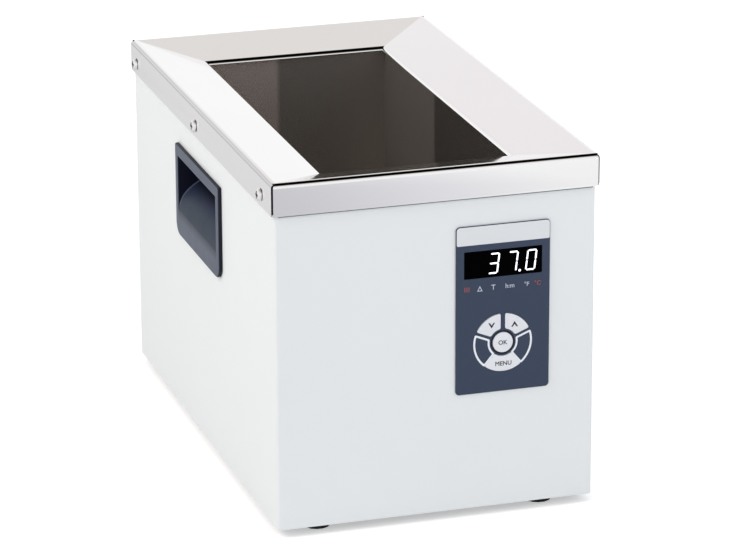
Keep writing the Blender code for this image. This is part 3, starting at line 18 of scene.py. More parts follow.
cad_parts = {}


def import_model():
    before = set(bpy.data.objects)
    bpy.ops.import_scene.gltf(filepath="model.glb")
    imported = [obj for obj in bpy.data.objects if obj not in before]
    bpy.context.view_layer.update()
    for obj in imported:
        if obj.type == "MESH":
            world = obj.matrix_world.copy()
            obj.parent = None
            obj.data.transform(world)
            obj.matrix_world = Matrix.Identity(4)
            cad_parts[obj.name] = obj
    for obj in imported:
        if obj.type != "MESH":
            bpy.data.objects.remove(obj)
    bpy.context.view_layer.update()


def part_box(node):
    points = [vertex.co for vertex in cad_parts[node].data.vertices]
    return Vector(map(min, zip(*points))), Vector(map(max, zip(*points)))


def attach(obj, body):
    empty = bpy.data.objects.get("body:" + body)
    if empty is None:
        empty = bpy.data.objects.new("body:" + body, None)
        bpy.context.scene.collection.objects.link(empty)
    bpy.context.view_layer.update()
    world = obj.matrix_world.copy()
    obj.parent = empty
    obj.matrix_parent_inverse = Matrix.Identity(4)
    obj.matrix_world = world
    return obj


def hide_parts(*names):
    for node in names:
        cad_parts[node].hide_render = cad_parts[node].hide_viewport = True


LOG = logging.getLogger("water_bath")
MM = 0.001
GAP = 0.3 * MM
OVERRUN = 2 * MM
HEM = 0.15 * MM
PRINT = 0.04 * MM
SMOOTH_ANGLE = 30.0
EDGE_RINGS = 5
CORNERS = ((-1, -1), (1, -1), (1, 1), (-1, 1))
CAPITAL_SHARE = 0.7
STROKE_SHARE = 0.022
KEYS = ("key_ok", "key_up", "key_down", "key_menu")
SEGMENTS = {
    "a": ((-1, 1), (1, 1)),
    "b": ((1, 1), (1, 0)),
    "c": ((1, 0), (1, -1)),
    "d": ((-1, -1), (1, -1)),
    "e": ((-1, 0), (-1, -1)),
    "f": ((-1, 1), (-1, 0)),
    "g": ((-1, 0), (1, 0)),
}

Pair = tuple[float, float]
Stops = tuple[tuple[float, str], ...]
Socket = bpy.types.NodeSocket
Solid = bpy.types.Object


class Axis(Enum):
    """The axis that an outline's plane stands across."""

    X = 0
    Y = 1
    Z = 2


class Side(Enum):
    """The two sides of the bath, with the sign of X on each."""

    LEFT = -1
    RIGHT = 1

    @property
    def label(self) -> str:
        """The side's name in lower case."""
        return self.name.lower()


class Cut(Enum):
    """What a Boolean does with its second solid."""

    AWAY = "DIFFERENCE"
    JOIN = "UNION"
    KEEP = "INTERSECT"


@dataclass(frozen=True)
class Box:
    """The box of a node of the frame."""

    low: Vector
    high: Vector

    @classmethod
    def of(cls, node: str) -> Box:
        """The box of the node of that name."""
        return cls(*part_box(node))

    def middle(self, axis: Axis) -> np.ndarray:
        """Its middle in the two coordinates across an axis."""
        return np.delete((np.array(self.low) + np.array(self.high)) / 2, axis.value)

    def size(self, axis: Axis) -> np.ndarray:
        """Its two widths across an axis."""
        return np.delete(np.array(self.high) - np.array(self.low), axis.value)


def linear(code: str) -> tuple[float, float, float, float]:
    """Turns an sRGB hex colour into the linear values that shaders take.

    Args:
        code: Six hex digits after a hash sign.

    Returns:
        Red, green, blue and an alpha of one.
    """
    shares = np.array([int(code[i : i + 2], 16) for i in (1, 3, 5)]) / 255
    low = shares / 12.92
    high = ((shares + 0.055) / 1.055) ** 2.4
    return (*np.where(shares <= 0.04045, low, high).tolist(), 1.0)


def arc(centre: Pair, radius: float, start: float, end: float, steps: int = 8) -> np.ndarray:
    """Points of an arc: the centre plus the radius times (cos a, sin a).

    Args:
        centre: The arc's middle.
        radius: Its radius.
        start: First angle in degrees.
        end: Last angle in degrees.
        steps: How many chords it has.

    Returns:
        An array of steps + 1 points.
    """
    angles = np.radians(np.linspace(start, end, steps + 1))
    return np.asarray(centre) + radius * np.stack([np.cos(angles), np.sin(angles)], axis=1)


def circle(radius: float, middle: Pair = (0, 0), sides: int = 48) -> np.ndarray:
    """Counter-clockwise circle of the given number of sides."""
    return arc(middle, radius, 0, 360 - 360 / sides, sides - 1)


def rectangle(width: float, height: float, middle: Pair = (0, 0)) -> np.ndarray:
    """Counter-clockwise rectangle round its middle."""
    return np.asarray(middle) + np.array(CORNERS) * np.array([width, height]) / 2


def rounded(
    size: Pair, radii: float | tuple[float, float, float, float], middle: Pair = (0, 0), steps: int = 8
) -> np.ndarray:
    """Counter-clockwise rectangle whose corners are quarter circles.

    Args:
        size: Its whole width and height.
        radii: One radius, or those of the lower left, lower right, upper right and upper left.
        middle: Its middle.
        steps: Chords in each corner.

    Returns:
        The outline's points.
    """
    radii = radii if isinstance(radii, tuple) else (radii,) * 4
    parts = []
    for sign, start, radius in zip(np.array(CORNERS), (180, 270, 0, 90), radii):
        centre = np.asarray(middle) + sign * (np.asarray(size) / 2 - radius)
        parts.append(arc(centre, radius, start, start + 90, steps))
    return np.concatenate(parts)


def inset(outline: np.ndarray, distance: float) -> np.ndarray:
    """Draws a counter-clockwise outline in by a distance, with mitred corners.

    Each point moves along the mean of its two edges' inward normals, further where they turn.

    Args:
        outline: The points.
        distance: How far in; a negative one grows the outline.

    Returns:
        As many points as the outline has.
    """
    along = np.roll(outline, -1, axis=0) - outline
    after = np.stack([-along[:, 1], along[:, 0]], axis=1)
    after /= np.linalg.norm(after, axis=1, keepdims=True)
    before = np.roll(after, 1, axis=0)
    middle = before + after
    middle /= np.linalg.norm(middle, axis=1, keepdims=True)
    return outline + middle * distance / np.sum(middle * before, axis=1, keepdims=True)


def fold(path: list[Pair], bends: tuple[float, ...], thickness: float, steps: int = 10) -> np.ndarray:
    """Outline of a folded sheet whose outer face follows a path that turns right.

    At each corner the sheet's two faces are arcs round one centre, which lies one bend radius to the
    right of the path: centre - right * r * cos a + along * r * sin a.

    Args:
        path: Corners of the outer face.
        bends: Outer radius at each corner but the two ends.
        thickness: The sheet's thickness.
        steps: Chords in each bend. A point HEM away on each side keeps the flats' shading flat.

    Returns:
        The closed outline.
    """
    points = np.asarray(path, float)
    along = np.diff(points, axis=0)
    along /= np.linalg.norm(along, axis=1, keepdims=True)
    right = np.stack([along[:, 1], -along[:, 0]], axis=1)
    outer, inner = [points[:1]], [points[:1] + right[:1] * thickness]
    for corner, before, after, across, bend in zip(points[1:-1], along, along[1:], right, bends):
        turned = np.arccos(np.clip(before @ after, -1, 1))
        centre = corner - before * bend * np.tan(turned / 2) + across * bend
        angles = np.linspace(0, turned, steps + 1)[:, None]
        spokes = before * np.sin(angles) - across * np.cos(angles)
        spokes = np.concatenate([spokes[:1], spokes, spokes[-1:]])
        shift = np.zeros_like(spokes)
        shift[0], shift[-1] = -before * HEM, after * HEM
        outer.append(centre + bend * spokes + shift)
        inner.append(centre + (bend - thickness) * spokes + shift)
    outer.append(points[-1:])
    inner.append(points[-1:] + right[-1:] * thickness)
    return np.concatenate(outer + [part[::-1] for part in inner[::-1]])


def stand(outline: np.ndarray, axis: Axis, level: float) -> np.ndarray:
    """Puts a flat outline in space, in the plane that crosses the axis at the level."""
    return np.insert(outline, axis.value, level, axis=1)


def linked(name: str, data: bpy.types.ID) -> bpy.types.Object:
    """Makes an object in the scene's collection.

    Args:
        name: Its name.
        data: What it holds.

    Returns:
        The object.
    """
    obj = bpy.data.objects.new(name, data)
    bpy.context.scene.collection.objects.link(obj)
    return obj


def baked(obj: bpy.types.Object) -> bpy.types.Mesh:
    """The object's shape with its modifiers applied, as a new mesh."""
    return bpy.data.meshes.new_from_object(obj.evaluated_get(bpy.context.evaluated_depsgraph_get()))


def smooth(obj: Solid, sharp: float = SMOOTH_ANGLE) -> None:
    """Shades a mesh smooth but for edges that turn more than this many degrees."""
    obj.data.shade_smooth()
    obj.data.set_sharp_from_angle(angle=np.radians(sharp))


def face_outwards(obj: Solid) -> None:
    """Turns a closed mesh's faces outwards.

    Args:
        obj: Its object.
    """
    bm = bmesh.new()
    bm.from_mesh(obj.data)
    bmesh.ops.recalc_face_normals(bm, faces=bm.faces)
    bm.to_mesh(obj.data)
    bm.free()


def make_object(
    name: str, points: np.ndarray, faces: list[tuple[int, ...]], sharp: float = SMOOTH_ANGLE
) -> Solid:
    """A linked mesh object with its faces pointing out.

    Args:
        name: The object's name.
        points: The vertices.
        faces: Their indices, face by face.
        sharp: Edges that turn more than this many degrees are shaded sharp.

    Returns:
        The object.
    """
    mesh = bpy.data.meshes.new(name)
    mesh.from_pydata(points.reshape(-1, 3).tolist(), [], faces)
    obj = linked(name, mesh)
    face_outwards(obj)
    smooth(obj, sharp)
    return obj


def loft(name: str, rings: list[np.ndarray], closed: bool = False, sharp: float = SMOOTH_ANGLE) -> Solid:
    """A closed solid through rings of equally many points.

    Point j of ring i is joined to its neighbour in the ring and to the same point of the next ring.

    Args:
        name: The object's name.
        rings: Arrays of points.
        closed: Whether the last ring joins the first; otherwise both ends are capped.
        sharp: The angle in degrees past which an edge is sharp.

    Returns:
        The object.
    """
    count, size = len(rings), len(rings[0])
    rows = np.arange(count if closed else count - 1)[:, None]
    columns = np.arange(size)[None, :]
    following, here, above = (columns + 1) % size, rows * size, (rows + 1) % count * size
    quads = np.stack([here + columns, here + following, above + following, above + columns], axis=-1)
    faces = [tuple(quad) for quad in quads.reshape(-1, 4).tolist()]
    if not closed:
        faces += [tuple(range(size)), tuple(range((count - 1) * size, count * size))]
    return make_object(name, np.concatenate(rings), faces, sharp)


def slab(name: str, outline: np.ndarray, axis: Axis, start: float, end: float, edge: float = 0) -> Solid:
    """A prism whose far face has a rounded edge: a quarter circle of the edge's radius.

    Args:
        name: The object's name.
        outline: Counter-clockwise outline.
        axis: The axis that it stands along.
        start: Level of the near face.
        end: Level of the far face.
        edge: Radius of the far face's edge, or zero.

    Returns:
        The object.
    """
    rings = [stand(outline, axis, start)]
    back = -np.sign(end - start) * edge
    for angle in np.linspace(0, np.pi / 2, EDGE_RINGS) if edge else [np.pi / 2]:
        drawn = inset(outline, edge * (1 - np.cos(angle))) if edge else outline
        rings.append(stand(drawn, axis, end + back * (1 - np.sin(angle))))
    return loft(name, rings)


def carve(target: Solid, *tools: Solid, how: Cut = Cut.AWAY) -> Solid:
    """Cuts or joins solids for good, and removes the tools.

    Args:
        target: The object that is changed.
        tools: What is cut away from it, joined to it or kept in common with it.
        how: Which of the three.

    Returns:
        The target.
    """
    for tool in tools:
        modifier = target.modifiers.new("carve", "BOOLEAN")
        modifier.operation = how.value
        modifier.object = tool
    mesh = baked(target)
    target.modifiers.clear()
    target.data = mesh
    for tool in tools:
        bpy.data.objects.remove(tool)
    smooth(target)
    return target


def feed(tree: bpy.types.NodeTree, node: bpy.types.Node, inputs: dict[str | int, object]) -> None:
    """Gives a node's inputs their links and values.

    Args:
        tree: The node tree.
        node: The node.
        inputs: What feeds each input, by its number or by the name of the one in use: an output, a
            plain value or a hex colour.
    """
    in_use = {socket.name: socket for socket in reversed(node.inputs) if socket.enabled}
    for label, value in inputs.items():
        socket = node.inputs[label] if isinstance(label, int) else in_use[label]
        if isinstance(value, bpy.types.NodeSocket):
            tree.links.new(value, socket)
        else:
            socket.default_value = linear(value) if isinstance(value, str) else value


def add_node(
    tree: bpy.types.NodeTree,
    kind: str,
    inputs: dict[str | int, object],
    output: str = "",
    stops: Stops = (),
    **settings: object,
) -> Socket:
    """Adds a node with its settings, values and links.

    Args:
        tree: The node tree.
        kind: The node's type after "ShaderNode".
        inputs: What feeds its inputs.
        output: The name of the output that is wanted, where it isn't the first in use.
        stops: Rising places and hex colours of its colour ramp.
        settings: Attributes of the node.

    Returns:
        The output.
    """
    node = tree.nodes.new(f"ShaderNode{kind}")
    for name, value in settings.items():
        setattr(node, name, value)
    for place, _ in stops[1:-1]:
        node.color_ramp.elements.new(place)
    for order, (place, tone) in enumerate(stops):
        entry = node.color_ramp.elements[order]
        entry.position, entry.color = place, linear(tone)
    feed(tree, node, inputs)
    return next(socket for socket in node.outputs if socket.enabled and output in ("", socket.name))


@dataclass(frozen=True)
class Look:
    """A material, and the record's slot that its pieces belong to."""

    name: str
    slot: str
    tone: str

    def build(self) -> bpy.types.Material:
        """Makes the material, or finds it if it was made before.

        Returns:
            The material.
        """
        material = bpy.data.materials.get(self.name)
        if material is None:
            material = bpy.data.materials.new(self.name)
            material.use_nodes = True
            self.fill(material.node_tree)
        return material

    def fill(self, tree: bpy.types.NodeTree) -> None:
        """Puts the look's nodes in a new material's tree."""
        raise NotImplementedError


@dataclass(frozen=True)
class Finish(Look):
    """A finish with two close tones in slow patches and a fine grain in its surface.

    The slow noise mixes the tones and shifts the roughness, and the fine noise drives a bump. Both
    scales are real sizes on the object's own coordinates; a grain that is too fine to show is drawn
    as coarse as it needs to show, so most are 0.4 to 1 mm.
    """

    second_tone: str
    roughness: float
    roughness_spread: float = 0.05
    metallic: float = 0.0
    patch: float = 40 * MM
    grain: float = 0.8 * MM
    relief: float = 0.02 * MM
    stretch: tuple[float, float, float] = (1, 1, 1)
    coat: float = 0.0
    specular: float = 0.5

    def fill(self, tree: bpy.types.NodeTree) -> None:
        """Puts the finish's nodes in a new material's tree.

        Args:
            tree: The tree, which holds a Principled shader.
        """
        place = add_node(tree, "TexCoord", {}, "Object")
        patches = add_node(tree, "TexNoise", {"Vector": place, "Scale": 1 / self.patch, "Detail": 3})
        tones = {"Factor": patches, "A": self.tone, "B": self.second_tone}
        plain = add_node(tree, "Mix", tones, data_type="RGBA")
        lower, upper = self.roughness - self.roughness_spread, self.roughness + self.roughness_spread
        rough = add_node(tree, "MapRange", {"Value": patches, "To Min": lower, "To Max": upper})
        stretched = add_node(tree, "Mapping", {"Vector": place, "Scale": self.stretch})
        grain = add_node(tree, "TexNoise", {"Vector": stretched, "Scale": 1 / self.grain, "Detail": 2})
        bump = add_node(tree, "Bump", {"Height": grain, "Distance": self.relief, "Strength": 1})
        inputs = {
            # Base colour: the plain tone, with painted light and shade laid on where a finish has any
            "Base Color": self.painted_light(tree, place, plain),
            "Roughness": rough,
            "Normal": bump,
            "Metallic": self.metallic,
            "Coat Weight": self.coat,
            "Specular IOR Level": self.gloss(tree, place),
        }
        feed(tree, tree.nodes["Principled BSDF"], inputs)

    def painted_light(self, tree: bpy.types.NodeTree, place: Socket, plain: Socket) -> Socket:
        """The painted light and shade that a finish lays on its plain tone: none, for a plain finish."""
        return plain

    def gloss(self, tree: bpy.types.NodeTree, place: Socket) -> Socket | float:
        """The specular level: the same everywhere, for a plain finish."""
        return self.specular


@dataclass(frozen=True)
class Glow(Look):
    """Light that shows through a window, as from a lit segment or lamp."""

    strength: float = 1.0
    speck: float = 1.5 * MM
    faintest: float = 0.85
    roughness: float = 0.4

    def fill(self, tree: bpy.types.NodeTree) -> None:
        """Puts in an emission whose brightness falls off a little in fine patches.

        Args:
            tree: The tree, which holds a Principled shader.
        """
        place = add_node(tree, "TexCoord", {}, "Object")
        speck = add_node(tree, "TexNoise", {"Vector": place, "Scale": 1 / self.speck, "Detail": 2})
        spread = {"Value": speck, "To Min": self.faintest * self.strength, "To Max": self.strength}
        inputs = {
            "Base Color": self.tone,
            "Roughness": self.roughness,
            "Emission Color": self.tone,
            "Emission Strength": add_node(tree, "MapRange", spread),
        }
        feed(tree, tree.nodes["Principled BSDF"], inputs)


@dataclass(frozen=True)
class FoldedSteel(Finish):
    """Polished sheet of the funnel rim, with painted reflections drawn as lines along its tight folds.

    Each place has a share of its side's width, 0 at the outer face and 1 at the funnel's inner edge,
    and belongs to the side where that share is least. The painted reflection lines are dark at the front
    and rear and pale along the sides.
    """

    reach: Pair = (110 * MM, 183 * MM)
    widths: Pair = (45 * MM, 43 * MM)
    side_reflection_lines: Stops = ((0, "#FFFFFF"), (0.002, "#D6D6D6"), (0.03, "#D6D6D6"), (0.045, "#FFFFFF"))
    end_reflection_lines: Stops = (
        (0.011, "#FFFFFF"),
        (0.015, "#060606"),
        (0.052, "#060606"),
        (0.056, "#FFFFFF"),
        (0.942, "#FFFFFF"),
        (0.946, "#060606"),
        (0.991, "#060606"),
        (0.996, "#FFFFFF"),
    )
    ramp_end: float = 1.02

    def painted_light(self, tree: bpy.types.NodeTree, place: Socket, plain: Socket) -> Socket:
        """The plain tone times that of the painted reflection lines along the folds.

        Args:
            tree: The material's tree.
            place: The object's coordinates.
            plain: The plain tone.

        Returns:
            The tone.
        """
        shares = []
        for axis, reach, width in zip("XY", self.reach, self.widths):
            along = add_node(tree, "SeparateXYZ", {"Vector": place}, axis)
            out = add_node(tree, "Math", {0: along}, operation="ABSOLUTE")
            span = {"Value": out, "From Min": reach, "From Max": reach - self.ramp_end * width}
            shares.append(add_node(tree, "MapRange", span))
        on_end = add_node(tree, "Math", {0: shares[1], 1: shares[0]}, operation="LESS_THAN")
        # painted reflections: pale lines along the sides, dark lines at the front and rear
        side = add_node(tree, "ValToRGB", {"Fac": shares[0]}, stops=self.side_reflection_lines)
        end = add_node(tree, "ValToRGB", {"Fac": shares[1]}, stops=self.end_reflection_lines)
        line = add_node(tree, "Mix", {"Factor": on_end, "A": side, "B": end}, data_type="RGBA")
        inputs = {"Factor": 1, "A": plain, "B": line}
        return add_node(tree, "Mix", inputs, data_type="RGBA", blend_type="MULTIPLY")


@dataclass(frozen=True)
class TankSteel(Finish):
    """Stainless sheet of a bath, seen by what it mirrors: its own dark walls, and faint upright brushing.
    On that lies a painted reflection, a paler, warmer stretch of the rear wall, and painted shade on the
    front of the right wall.
    """

    reflection_tone: str = "#FFF5F3"
    warm_reflection_tone: str = "#F8DFD0"
    warm_reflection_patch: float = 60 * MM
    reflection_fade: Pair = (-15 * MM, -11 * MM)
    rear_wall: Pair = (139 * MM, 140 * MM)
    shaded_tone: str = "#76726F"
    shade_span: Pair = (24 * MM, 30 * MM)
    side_wall: Pair = (62.5 * MM, 64.5 * MM)

    def painted_light(self, tree: bpy.types.NodeTree, place: Socket, plain: Socket) -> Socket:
        """The plain tone with the painted reflection and the painted shade laid on.

        Each stretch is where a share that falls along one axis passes on one that rises along the
        other: the painted reflection to the left on the rear wall, the painted shade to the front on the
        right wall.

        Args:
            tree: The material's tree.
            place: The object's coordinates.
            plain: The plain tone.

        Returns:
            The tone.
        """
        across, along = (add_node(tree, "SeparateXYZ", {"Vector": place}, axis) for axis in "XY")
        stretches = []
        # painted reflection on the rear wall, then painted shade on the right wall
        for faded, fade, wall, rise in (
            (across, self.reflection_fade, along, self.rear_wall),
            (along, self.shade_span, across, self.side_wall),
        ):
            span = {"Value": faded, "From Min": fade[0], "From Max": fade[1], "To Min": 1, "To Max": 0}
            share = add_node(tree, "MapRange", span)
            span = {"Value": wall, "From Min": rise[0], "From Max": rise[1], "To Max": share}
            stretches.append(add_node(tree, "MapRange", span))
        # tone of the painted reflection: pale, warmer in slow patches
        warm = add_node(tree, "TexNoise", {"Vector": place, "Scale": 1 / self.warm_reflection_patch, "Detail": 1})
        tones = {"Factor": warm, "A": self.reflection_tone, "B": self.warm_reflection_tone}
        paler = add_node(tree, "Mix", tones, data_type="RGBA")
        for share, tone in zip(stretches, (paler, self.shaded_tone)):
            plain = add_node(tree, "Mix", {"Factor": share, "A": plain, "B": tone}, data_type="RGBA")
        return plain


@dataclass(frozen=True)
class ScoopedPlastic(Finish):
    """Moulded plastic of a scooped grip: its border is glossier than the hollow, and painted shade
    makes the hollow darker with depth. The depth runs inwards along X from the border's face.

    Where the scoop meets the pocket's end walls, a painted highlight draws a pale line, and painted
    shade makes the end walls themselves dark. Both tones start behind the border, over the hollow's rim.
    """

    face: float = 110.7 * MM
    reach: float = 16 * MM
    depth_shade_stops: Stops = ((0, "#50596A"), (0.012, "#343D4A"), (0.22, "#323C4B"), (0.55, "#293147"), (1, "#0A0D1A"))
    hollow_rim: Pair = (0.02, 0.06)
    hollow_specular: float = 0.12
    middle: float = 2 * MM
    end_wall: float = 49.5 * MM
    highlight_band: float = 3.2 * MM
    end_light_and_shade: tuple[tuple[str, Stops], ...] = (
        ("#59627A", ((0, "#000000"), (0.45, "#FFFFFF"), (0.55, "#FFFFFF"), (1, "#000000"))),
        ("#16192B", ((0.96, "#000000"), (0.99, "#FFFFFF"))),
    )

    def share(self, tree: bpy.types.NodeTree, place: Socket, axis: str, middle: float, ends: Pair) -> Socket:
        """How far out a place lies along an axis, as a share between two distances from a middle.

        Args:
            tree: The material's tree.
            place: The object's coordinates.
            axis: The axis, X or Y.
            middle: The middle's coordinate on it.
            ends: The distance where the share is 0, and that where it is 1.

        Returns:
            The share.
        """
        along = add_node(tree, "SeparateXYZ", {"Vector": place}, axis)
        centred = add_node(tree, "Math", {0: along, 1: middle}, operation="SUBTRACT")
        out = add_node(tree, "Math", {0: centred}, operation="ABSOLUTE")
        return add_node(tree, "MapRange", {"Value": out, "From Min": ends[0], "From Max": ends[1]})

    def painted_light(self, tree: bpy.types.NodeTree, place: Socket, plain: Socket) -> Socket:
        """The plain tone times painted shade by depth, and a painted highlight and shade near the end walls.

        Args:
            tree: The material's tree.
            place: The object's coordinates.
            plain: The plain tone.

        Returns:
            The tone.
        """
        depth = self.share(tree, place, "X", 0, (self.face, self.face - self.reach))
        near = self.share(tree, place, "Y", self.middle, (self.end_wall - self.highlight_band, self.end_wall))
        # painted shade: darker with depth
        painted_tone = add_node(tree, "ValToRGB", {"Fac": depth}, stops=self.depth_shade_stops)
        start, end = self.hollow_rim
        # painted highlight line beside the end walls, then painted shade on the end walls
        for tone, stops in self.end_light_and_shade:
            most = add_node(tree, "ValToRGB", {"Fac": near}, stops=stops)
            span = {"Value": depth, "From Min": start, "From Max": end, "To Max": most}
            inputs = {"Factor": add_node(tree, "MapRange", span), "A": painted_tone, "B": tone}
            painted_tone = add_node(tree, "Mix", inputs, data_type="RGBA")
        inputs = {"Factor": 1, "A": plain, "B": painted_tone}
        return add_node(tree, "Mix", inputs, data_type="RGBA", blend_type="MULTIPLY")

    def gloss(self, tree: bpy.types.NodeTree, place: Socket) -> Socket:
        """The specular level, which falls behind the border's face.

        Args:
            tree: The material's tree.
            place: The object's coordinates.

        Returns:
            The level.
        """
        depth = self.share(tree, place, "X", 0, (self.face, self.face - self.reach))
        edge = self.depth_shade_stops[1][0]
        span = {"Value": depth, "From Max": edge, "To Min": self.specular, "To Max": self.hollow_specular}
        return add_node(tree, "MapRange", span)


# Powder-coated sheet: an even white whose baked grains make its sheen a little soft.
POWDER = Finish("powder_coated_steel", "casing_paint", "#E9EDEF", "#E6EAED", 0.5, 0.04, 0, 120 * MM, 0.9 * MM)
# Polished stainless sheet: a near mirror with a trace of the polishing's long strokes; painted reflections
# line its folds.
POLISHED = FoldedSteel(
    "polished_stainless", "rim_steel", "#FCFCFC", "#F8F7F7", 0.07, 0.015, 1,
    90 * MM, 0.7 * MM, 0.0006 * MM, (1, 12, 1),
)
# Brushed stainless sheet: a blurred mirror, drawn out upright by its fine strokes, with painted reflection
# and shade.
BATH = TankSteel(
    "bath_stainless", "tank_steel", "#BAB4AE", "#B0AAA4", 0.22, 0.04, 0.82,
    60 * MM, 0.8 * MM, 0.004 * MM, (12, 12, 1),
)
# Turned stainless fasteners: small bright heads.
FASTENER = Finish(
    "stainless_fastener", "screw_steel", "#FAFAFA", "#EEEDEC", 0.14, 0.03, 1, 4 * MM, 0.5 * MM, 0.004 * MM
)
# Zinc-plated sheet: a dull, slightly cloudy grey metal.
PLATED = Finish(
    "zinc_plated_steel", "zinc_steel", "#BFC1C0", "#AEB1B4", 0.42, 0.08, 1, 25 * MM, 1.2 * MM, 0.01 * MM
)
# Extruded aluminium as it left the mill: satin, with lines along the extrusion.
ALUMINIUM = Finish(
    "mill_aluminium", "heat_aluminium", "#C4C6C8", "#B6B8BB", 0.38, 0.05, 1,
    30 * MM, 0.9 * MM, 0.004 * MM, (1, 10, 1),
)
# Moulded slate plastic: an even, half matt dark grey, with painted shade that sets its tone by the depth.
GRIP = ScoopedPlastic(
    "scooped_slate_abs", "slate_plastic", "#FFFFFF", "#F4F4F4", 0.5, 0.05, 0, 18 * MM, 0.6 * MM, 0.025 * MM
)
# Printed film over a moulded panel: flat slate with little shine.
FIELD = Finish(
    "printed_slate_film", "slate_plastic", "#39455A", "#374357", 0.38, 0.04, 0,
    30 * MM, 0.7 * MM, 0.006 * MM, specular=0.25,
)
# Moulded black nylon: dark, with a soft sheen.
BLACK = Finish("black_nylon", "black_plastic", "#1B1B1D", "#232325", 0.45, 0.06, 0, 10 * MM, 0.5 * MM)
# Moulded rubber: dark and matt.
RUBBER = Finish(
    "black_rubber", "foot_rubber", "#1A1A1A", "#242424", 0.75, 0.08, 0, 6 * MM, 0.4 * MM, 0.04 * MM
)
# Moulded key caps: a smooth, cool pale grey.
KEYCAP = Finish(
    "pale_grey_keycap", "key_plastic", "#E6E8EF", "#E1E3EA", 0.42, 0.05, 0, 8 * MM, 0.5 * MM, 0.01 * MM
)
# Printed film of the upper strip: a flat pale grey.
HEADER = Finish(
    "pale_grey_film", "header_film", "#E1E4E7", "#DDE0E4", 0.35, 0.04, 0, 20 * MM, 0.7 * MM, 0.005 * MM
)
# Smoked window: black until a segment is lit behind it.
WINDOW = Finish(
    "smoked_window", "window_film", "#010102", "#020203", 0.12, 0.03, 0,
    20 * MM, 1 * MM, 0.001 * MM, specular=0.01,
)
# Pad prints, as thin as ink: dark on the keys, white and pale on the panel.
INK = Finish("dark_print", "key_plastic", "#14161D", "#1B1E27", 0.5, 0.05, 0, 3 * MM, 0.4 * MM, 0.002 * MM)
WHITE_PRINT = Finish(
    "white_print", "header_film", "#EDF0F8", "#E6EAF3", 0.45, 0.05, 0, 3 * MM, 0.4 * MM, 0.002 * MM
)
MARK_PRINT = Finish(
    "pale_print", "header_film", "#BCC3D2", "#B5BCCC", 0.45, 0.05, 0, 3 * MM, 0.4 * MM, 0.002 * MM
)
# Pressed silicone mat of the heater: matt brick red.
SILICONE = Finish(
    "heater_silicone", "heater_silicone", "#B5532F", "#A54A2A", 0.6, 0.08, 0, 15 * MM, 1 * MM, 0.05 * MM
)
# Cut closed-cell foam: matt dark grey with open pores.
FOAM = Finish("closed_cell_foam", "jacket_foam", "#3A3A3B", "#303031", 0.9, 0.05, 0, 8 * MM, 1 * MM, 0.2 * MM)
# Lacquered glass laminate of circuit boards: green with a low gloss.
BOARD = Finish("circuit_laminate", "board_laminate", "#1C6B3E", "#196037", 0.4, 0.06, 0, 12 * MM, 0.6 * MM)
# Plated brass blades: a pale yellow metal.
BRASS = Finish("plated_brass", "pin_brass", "#D8C48A", "#CDB878", 0.3, 0.06, 1, 5 * MM, 0.4 * MM, 0.004 * MM)
# Blown glass of the fuses: pale and glossy.
GLASS = Finish(
    "fuse_glass", "fuse_glass", "#D5DCDC", "#C6CECE", 0.08, 0.03, 0, 5 * MM, 0.6 * MM, 0.002 * MM, coat=0.6
)
# Lacquered core sheets and windings: dark, between metal and varnish.
CORE = Finish(
    "lacquered_core", "core_iron", "#4A4A4C", "#3C3C3E", 0.5, 0.08, 0.4, 6 * MM, 0.6 * MM, 0.05 * MM
)
# Painted shadow under the rim: a matt grey line that stands for the flange's shadow on the casing.
FLANGE_SHADOW = Finish(
    "painted_flange_shadow", "slate_plastic", "#7C8184", "#74797C", 0.6, 0.05, 0,
    12 * MM, 0.5 * MM, 0.01 * MM, specular=0.2,
)
# Nearly black: the printed ring round the OK key, and painted shade in the rim's seams, round the grips'
# borders and in screw recesses.
DARK_PRINT_AND_SHADE = Finish(
    "dark_seal", "slate_plastic", "#151824", "#1A1D2A", 0.5, 0.05, 0,
    3 * MM, 0.4 * MM, 0.002 * MM, specular=0.2,
)
# Lit segments, and the dim red of the lamps' marks.
LIT_WHITE = Glow("white_segment", "window_film", "#F6FAFF")
LIT_RED = Glow("red_lamp", "header_film", "#93474A", 0.12)


def dress(obj: Solid, look: Look, *replaces: str, body: str = "root", slot: str | None = None) -> Solid:
    """Gives a finished piece its material, its body and the nodes that it stands for.

    Args:
        obj: The piece, in its place.
        look: Its look.
        replaces: Nodes that it stands for.
        body: The body that it rides on.
        slot: The record's material slot, where it isn't the look's own; it is not used.

    Returns:
        The piece.
    """
    obj.data.materials.clear()
    obj.data.materials.append(look.build())
    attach(obj, body)
    if replaces:
        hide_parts(*replaces)
    LOG.info("%s: %d faces, rides on %s", obj.name, len(obj.data.polygons), body)
    return obj


